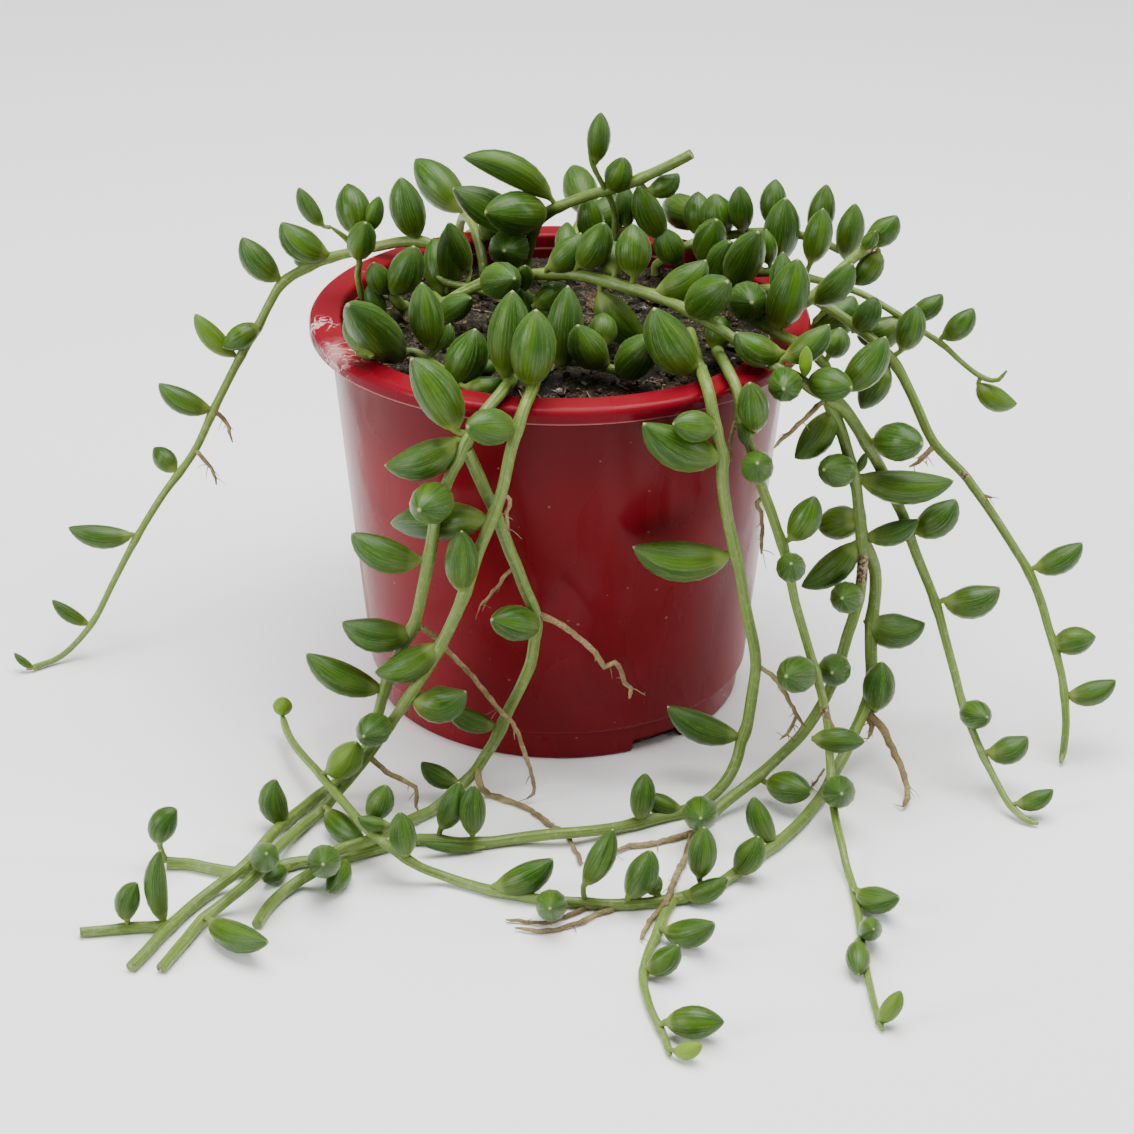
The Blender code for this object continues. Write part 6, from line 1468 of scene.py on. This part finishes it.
# %% Every stem
STEM_STEP = 1.2
STEM_ROUNDNESS = 4
JOINT_SWELL = 0.16
JOINT_REACH = 1.6
SLIMMER = 0.98
UNEVENNESS = 0.04
UNEVEN_EVERY = 6
GROWING_TIP = [0.95, 0.8, 0.45]
DRY_CUT = 1.5
CUT_ENDS = ["front_left", "front_left_fork", "front_left_end", "front_inner", "front_right", "top_cut",
            "right_pair_fork"]
SCARS = {
    "far_right": [(at(72.0, 65.0, 5), 2.0), (at(83.0, 46.0, 13), 2.2), (at(99.2, 21, 22), 1.5)],
    "right_middle": [(at(63.1, 25, 30), 5.5)],
    "right_pair_fork": [(at(62, 95.8, 7), 4.0)],
    "right_long": [(at(57, -9.5, 48.5), 2.6)],
    "right_outer": [(at(64, 50.5, 28), 2.0)],
    "front_low": [(at(66.1, 20.5, 28.5), 1.6)],
    "far_left": [(on(-112, -0.6, 1.0), 2.5)],
}


def draw_stem(strand, draw):
    points = smooth(stem_points(strand), STEM_STEP)
    radii = np.linspace(*thickness(strand), len(points)) / 2
    swell = np.zeros(len(points))
    for leaf in leaves:
        if leaf.strand == strand:
            away = np.linalg.norm(points - joint_of(leaf), axis=1)
            swell = np.maximum(swell, np.exp(-(away / JOINT_REACH) ** 2))
    drawn_at = range(0, len(points) + UNEVEN_EVERY, UNEVEN_EVERY)
    drawn = [draw.uniform(-UNEVENNESS, UNEVENNESS) for _ in drawn_at]
    uneven = np.interp(np.arange(len(points)), drawn_at, drawn)
    radii = radii * (SLIMMER + JOINT_SWELL * swell + uneven)
    if strand not in CUT_ENDS:
        radii[-len(GROWING_TIP):] *= GROWING_TIP
    stem = draw_tube(f"{strand}_stem", points, radii, STEM_ROUNDNESS)
    marks = [(points[-1], DRY_CUT)] if strand in CUT_ENDS else []
    mark_tone(stem, draw.random(), marks + SCARS.get(strand, []))
    return stem


print("stems to draw:", len(STRANDS))

# %% Every root, with its side hairs
ROOT_STEP = 1.1
ROOT_ROUNDNESS = 2
ROOT_KINKS, HAIR_KINKS = 0.16, 0.12
ROOT_OVER_TABLE = 0.45
ROOT_THICKNESSES = (0.85, 1.12)
ROOT_TIP = [0.8, 0.4]
HAIRS_PER_ROOT = 5
HAIR_LENGTHS = (1.2, 3.4)
HAIR_SHARES = (0, 0.3, 0.65, 1.0)
HAIR_RADII = np.array([0.13, 0.11, 0.09, 0.05])
HAIR_SAG = -0.35
FINE_ROOTS = [("front_low", 0.5, 0.3, lie(0.5, (57.3, -23.5), (56, -26), (54.7, -28), (55.3, -29)))]


def wander(points, amount, draw):
    """Points with small sideways kinks that leave both ends in place."""
    ease = np.sin(np.linspace(0, np.pi, len(points)))[:, None] ** 0.5
    kinks = np.array([[draw.uniform(-1, 1) for _ in range(3)] for _ in points])
    moved = points + kinks * amount * ease
    moved[:, 2] = np.maximum(moved[:, 2], ROOT_OVER_TABLE)
    return moved


def draw_root(k, first, last, points, draw):
    points = wander(smooth(points, ROOT_STEP), ROOT_KINKS, draw)
    radii = np.linspace(first, last, len(points)) / 2
    radii *= np.array([draw.uniform(*ROOT_THICKNESSES) for _ in radii])
    radii[-len(ROOT_TIP):] *= ROOT_TIP
    pieces = [draw_tube(f"root_{k}", points, radii, ROOT_ROUNDNESS)]
    for hair in range(HAIRS_PER_ROOT):
        at_point = draw.randrange(len(points) // 3, len(points))
        out = unit(np.array([draw.uniform(-1, 1), draw.uniform(-1, 1), draw.uniform(-0.9, 0.2)]))
        length = draw.uniform(*HAIR_LENGTHS)
        run = [points[at_point] + out * length * share + np.array([0, 0, HAIR_SAG * length * share ** 2])
               for share in HAIR_SHARES]
        run = wander(np.array(run), HAIR_KINKS, draw)
        pieces.append(draw_tube(f"root_{k}_hair_{hair}", run, HAIR_RADII, 0))
    for piece in pieces:
        mark_tone(piece, draw.random(), [])
    return pieces


print("roots to draw:", len(ROOTS + FINE_ROOTS))

# %% [markdown]
# ## The living finishes
#
# A leaf is a bag of clear jelly under a green skin. Darker and paler lines run from the stalk to the tip,
# and on the side that faces the light the skin parts to a window of yellow-green. The upper face is
# painted
# a paler green: partly a thin bloom of wax, which also spreads the highlight, and partly painted sheen
# from the lamp overhead. The pattern reads the leaf's own UV map, in which v runs from the stalk to the
# tip, and the lines are laid on a ring so that they meet without a seam where the map is cut.

# %% Draw the lines of the leaf's skin
DEEP_GREEN = color(0.015, 0.047, 0.003)
MID_GREEN = color(0.024, 0.072, 0.005)
LINE_GREEN = color(0.080, 0.158, 0.026)
FLESH_REACH = (0.6, 1.0, 0.25)
SEEDS = 40.0

leaf_skin, tree, shader = new_finish(
    "leaf skin", IOR=1.42, Subsurface_Weight=0.16, Subsurface_Scale=0.002, Subsurface_Radius=FLESH_REACH,
    Specular_IOR_Level=0.30, Sheen_Weight=0.08, Sheen_Roughness=0.35, Sheen_Tint=color(0.8, 1.0, 0.5))
where, uv, tones = own_place(tree), own_uv(tree), own_tone(tree)
uv_parts = add_node(tree, "ShaderNodeSeparateXYZ", [(0, uv)]).outputs
share = ramp(tree, uv_parts["Y"], BASE_IN_UV, 1.0)
seed = multiply(tree, tones["Green"], SEEDS)
hairlines = use_group(tree, long_lines, UV=uv, Count=92.0, Stretch=2.6, Seed=seed)
broad = use_group(tree, long_lines, UV=uv, Count=14.0, Stretch=1.0, Seed=seed)
dashes = use_group(tree, long_lines, UV=uv, Count=110.0, Stretch=30.0, Seed=seed)
green = mix(tree, broad, DEEP_GREEN, MID_GREEN)
pale_lines = multiply(tree, ramp(tree, hairlines, 0.45, 0.75), ramp(tree, dashes, 0.0, 1.0, 0.25, 0.75))
green = mix(tree, pale_lines, green, LINE_GREEN)
print("leaf lines:", len(tree.nodes), "nodes")

# %% Open its window and lay its bloom and painted sheen
WINDOW_GREEN = color(0.068, 0.152, 0.004)
CLEAR_GREEN = color(0.085, 0.125, 0.006)
BLOOM_AND_SHEEN_GREEN = color(0.074, 0.142, 0.032)
WINDOW_MIDDLE = 0.5
WINDOW_WIDTH = 0.055
WINDOW_WAVER = 0.03
LEAST_WINDOW, FULL_WINDOW = 0.04, 0.5
CLEAR_STRENGTH = 0.35
LEAST_BLOOM_AND_SHEEN, FULL_BLOOM_AND_SHEEN = 0.05, 0.30

ends = multiply(tree, ramp(tree, share, 0.02, 0.3), ramp(tree, share, 1.0, 0.72))
waver = multiply(tree, math_node(tree, "SUBTRACT", hairlines, 0.5), WINDOW_WAVER)
window_width = math_node(tree, "ADD", multiply(tree, ends, WINDOW_WIDTH), waver)
band = math_node(tree, "SUBTRACT", window_width, off_by(tree, uv_parts["X"], WINDOW_MIDDLE))
window = multiply(tree, ramp(tree, band, -0.03, 0.04), ends)
window = multiply(tree, window, ramp(tree, tones["Red"], 0.2, 1.0, LEAST_WINDOW, FULL_WINDOW))
green = mix(tree, window, green, WINDOW_GREEN)
clear = multiply(tree, ramp(tree, share, 0.45, 0.08), CLEAR_STRENGTH)
green = mix(tree, clear, green, CLEAR_GREEN)
# Painted sheen: faces that point up are mixed towards a paler green in patches, partly wax bloom and
# partly the overhead lamp's sheen painted in.
facing = add_node(tree, "ShaderNodeNewGeometry").outputs["Normal"]
upward = add_node(tree, "ShaderNodeSeparateXYZ", [(0, facing)]).outputs["Z"]
patches = use_group(tree, mottling, Vector=where, Scale=130.0, Low=0.3, High=0.75)
wax_and_sheen = ramp(tree, patches, 0.0, 1.0, LEAST_BLOOM_AND_SHEEN, FULL_BLOOM_AND_SHEEN)
bloom_and_sheen = multiply(tree, ramp(tree, upward, -0.1, 0.95), wax_and_sheen)
green = mix(tree, bloom_and_sheen, green, BLOOM_AND_SHEEN_GREEN)
print("leaf lines, window and bloom:", len(tree.nodes), "nodes")

# %% Colour its stalk, its tip and the young leaves, and set its gloss
WARMER = color(1.35, 1.2, 0.85)
YOUNG_GREEN = color(0.21, 0.35, 0.02)
STALK_GREEN = color(0.14, 0.20, 0.035)
TIP_TAN = color(0.42, 0.40, 0.18)
WARM_STRENGTH = 0.35
YOUNG_STRENGTH = 0.75
TIP_STRENGTH = 0.8
SMOOTHEST, WAXIEST = 0.29, 0.42
LINE_DEPTH = 0.10 * MM

warm = mix(tree, 1.0, green, WARMER, "MULTIPLY")
green = mix(tree, multiply(tree, tones["Red"], WARM_STRENGTH), green, warm)
green = mix(tree, multiply(tree, tones["Blue"], YOUNG_STRENGTH), green, YOUNG_GREEN)
green = mix(tree, ramp(tree, share, 0.10, 0.0), green, STALK_GREEN)
green = mix(tree, multiply(tree, ramp(tree, share, 0.955, 1.0), TIP_STRENGTH), green, TIP_TAN)
tree.links.new(green, shader.inputs["Base Color"])
tree.links.new(ramp(tree, patches, 0.0, 1.0, SMOOTHEST, WAXIEST), shader.inputs["Roughness"])
relief = math_node(tree, "ADD", multiply(tree, broad, 0.6), multiply(tree, hairlines, 0.4))
tree.links.new(bump(tree, relief, LINE_DEPTH, 0.5), shader.inputs["Normal"])
print("leaf skin:", len(tree.nodes), "nodes")

# %% Finish the stems
STEM_DEEP = color(0.080, 0.135, 0.016)
STEM_PALE = color(0.16, 0.235, 0.042)
STEM_PATCH = color(0.13, 0.21, 0.035)
STEM_FLECK = color(0.29, 0.35, 0.14)
DRY_DARK = color(0.06, 0.035, 0.02)
DRY_PALE = color(0.38, 0.28, 0.15)
PATCH_STRENGTH = 0.35
FLECKS_STRENGTH = 0.3
RAGGEDNESS = 0.25
RIDGE_DEPTH = 0.04 * MM

stem_skin, tree, shader = new_finish(
    "stem skin", IOR=1.42, Subsurface_Weight=0.12, Subsurface_Scale=0.0015, Subsurface_Radius=FLESH_REACH)
where, uv, tones = own_place(tree), own_uv(tree), own_tone(tree)
lines = use_group(tree, long_lines, UV=uv, Count=10.0, Stretch=30.0, Seed=tones["Red"])
flecks = use_group(tree, mottling, Vector=where, Scale=900.0, Low=0.52, High=0.68)
patches = use_group(tree, mottling, Vector=where, Scale=90.0)
green = mix(tree, lines, STEM_DEEP, STEM_PALE)
green = mix(tree, multiply(tree, patches, PATCH_STRENGTH), green, STEM_PATCH)
green = mix(tree, multiply(tree, flecks, FLECKS_STRENGTH), green, STEM_FLECK)
grain = use_group(tree, mottling, Vector=where, Scale=1500.0, Low=0.4, High=0.6)
dried = mix(tree, grain, DRY_DARK, DRY_PALE)
ragged = math_node(tree, "ADD", tones["Blue"], multiply(tree, flecks, RAGGEDNESS))
tree.links.new(mix(tree, ramp(tree, ragged, 0.3, 0.55), green, dried), shader.inputs["Base Color"])
tree.links.new(ramp(tree, patches, 0.0, 1.0, 0.38, 0.55), shader.inputs["Roughness"])
tree.links.new(bump(tree, lines, RIDGE_DEPTH, 0.4), shader.inputs["Normal"])
print("stem skin:", len(tree.nodes), "nodes")

# %% Finish the roots
ROOT_BROWN = color(0.13, 0.085, 0.032)
ROOT_TAN = color(0.33, 0.26, 0.115)
ROOT_DARK = color(0.045, 0.03, 0.014)
GRAIN_STRENGTH = 0.4
PALE_STRENGTH = 0.35
BARK_DEPTH = 0.12 * MM

root_skin, tree, shader = new_finish("root skin", Roughness=0.75, Specular_IOR_Level=0.3)
where, tones = own_place(tree), own_tone(tree)
blotch = use_group(tree, mottling, Vector=where, Scale=260.0)
grain = use_group(tree, mottling, Vector=where, Scale=1700.0, Low=0.4, High=0.6)
brown = mix(tree, blotch, ROOT_BROWN, ROOT_TAN)
brown = mix(tree, multiply(tree, grain, GRAIN_STRENGTH), brown, ROOT_DARK)
brown = mix(tree, multiply(tree, tones["Red"], PALE_STRENGTH), brown, ROOT_TAN)
tree.links.new(brown, shader.inputs["Base Color"])
tree.links.new(bump(tree, grain, BARK_DEPTH), shader.inputs["Normal"])
print("root skin:", len(tree.nodes), "nodes")

# %% [markdown]
# ## Grow the plant
#
# Each leafy stem is one piece: its strands, its leaves and its roots are made, given their finishes and
# joined. Joined, it takes the place of one of the plain solids, which stays underneath for the physics.
# The random numbers come from one seed, so the plant grows the same each time.

# %% Join what belongs to one stem
# A few leaves are young and yellow-green. Each is known by where its base shows.
YOUNG = {(49.4, 67.7): 1.0, (26.5, -96.5): 0.9, (-49.3, -25): 0.4, (84.5, 66.3): 0.25, (-58.4, -11.2): 0.6,
         (72.3, -88.5): 0.4, (-65.2, 71.2): 0.3}


def join_pieces(pieces, name):
    bpy.ops.object.select_all(action="DESELECT")
    for piece in pieces:
        piece.select_set(True)
    bpy.context.view_layer.objects.active = pieces[0]
    bpy.ops.object.join()
    whole = bpy.context.object
    whole.name = name
    whole.data.name = name
    return whole


def grow_stem(node, strands, draw):
    pieces = []
    for strand in strands:
        stem = draw_stem(strand, draw)
        stem.data.materials.append(stem_skin)
        pieces.append(stem)
    for k, (strand, first, last, points) in enumerate(ROOTS + FINE_ROOTS):
        if strand in strands:
            for root in draw_root(k, first, last, points, draw):
                root.data.materials.append(root_skin)
                pieces.append(root)
    for k, leaf in enumerate(leaves):
        if leaf.strand in strands:
            young = YOUNG.get(tuple(leaf.base), 0.0)
            grown = grow_leaf(leaf, f"leaf_{k}", [draw.random(), draw.random(), young])
            grown.data.materials.append(leaf_skin)
            pieces.append(grown)
    whole = join_pieces(pieces, f"leafy_{node}")
    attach(whole, "root")
    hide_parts(node)
    return whole


draw = random.Random(29)
plant = {node: grow_stem(node, strands, draw) for node, strands in NODES.items()}
bpy.data.objects.remove(leaf_model)
triangles = sum(sum(len(face.vertices) - 2 for face in whole.data.polygons) for whole in plant.values())
print("leafy stems:", len(plant), "pieces with", triangles, "triangles")
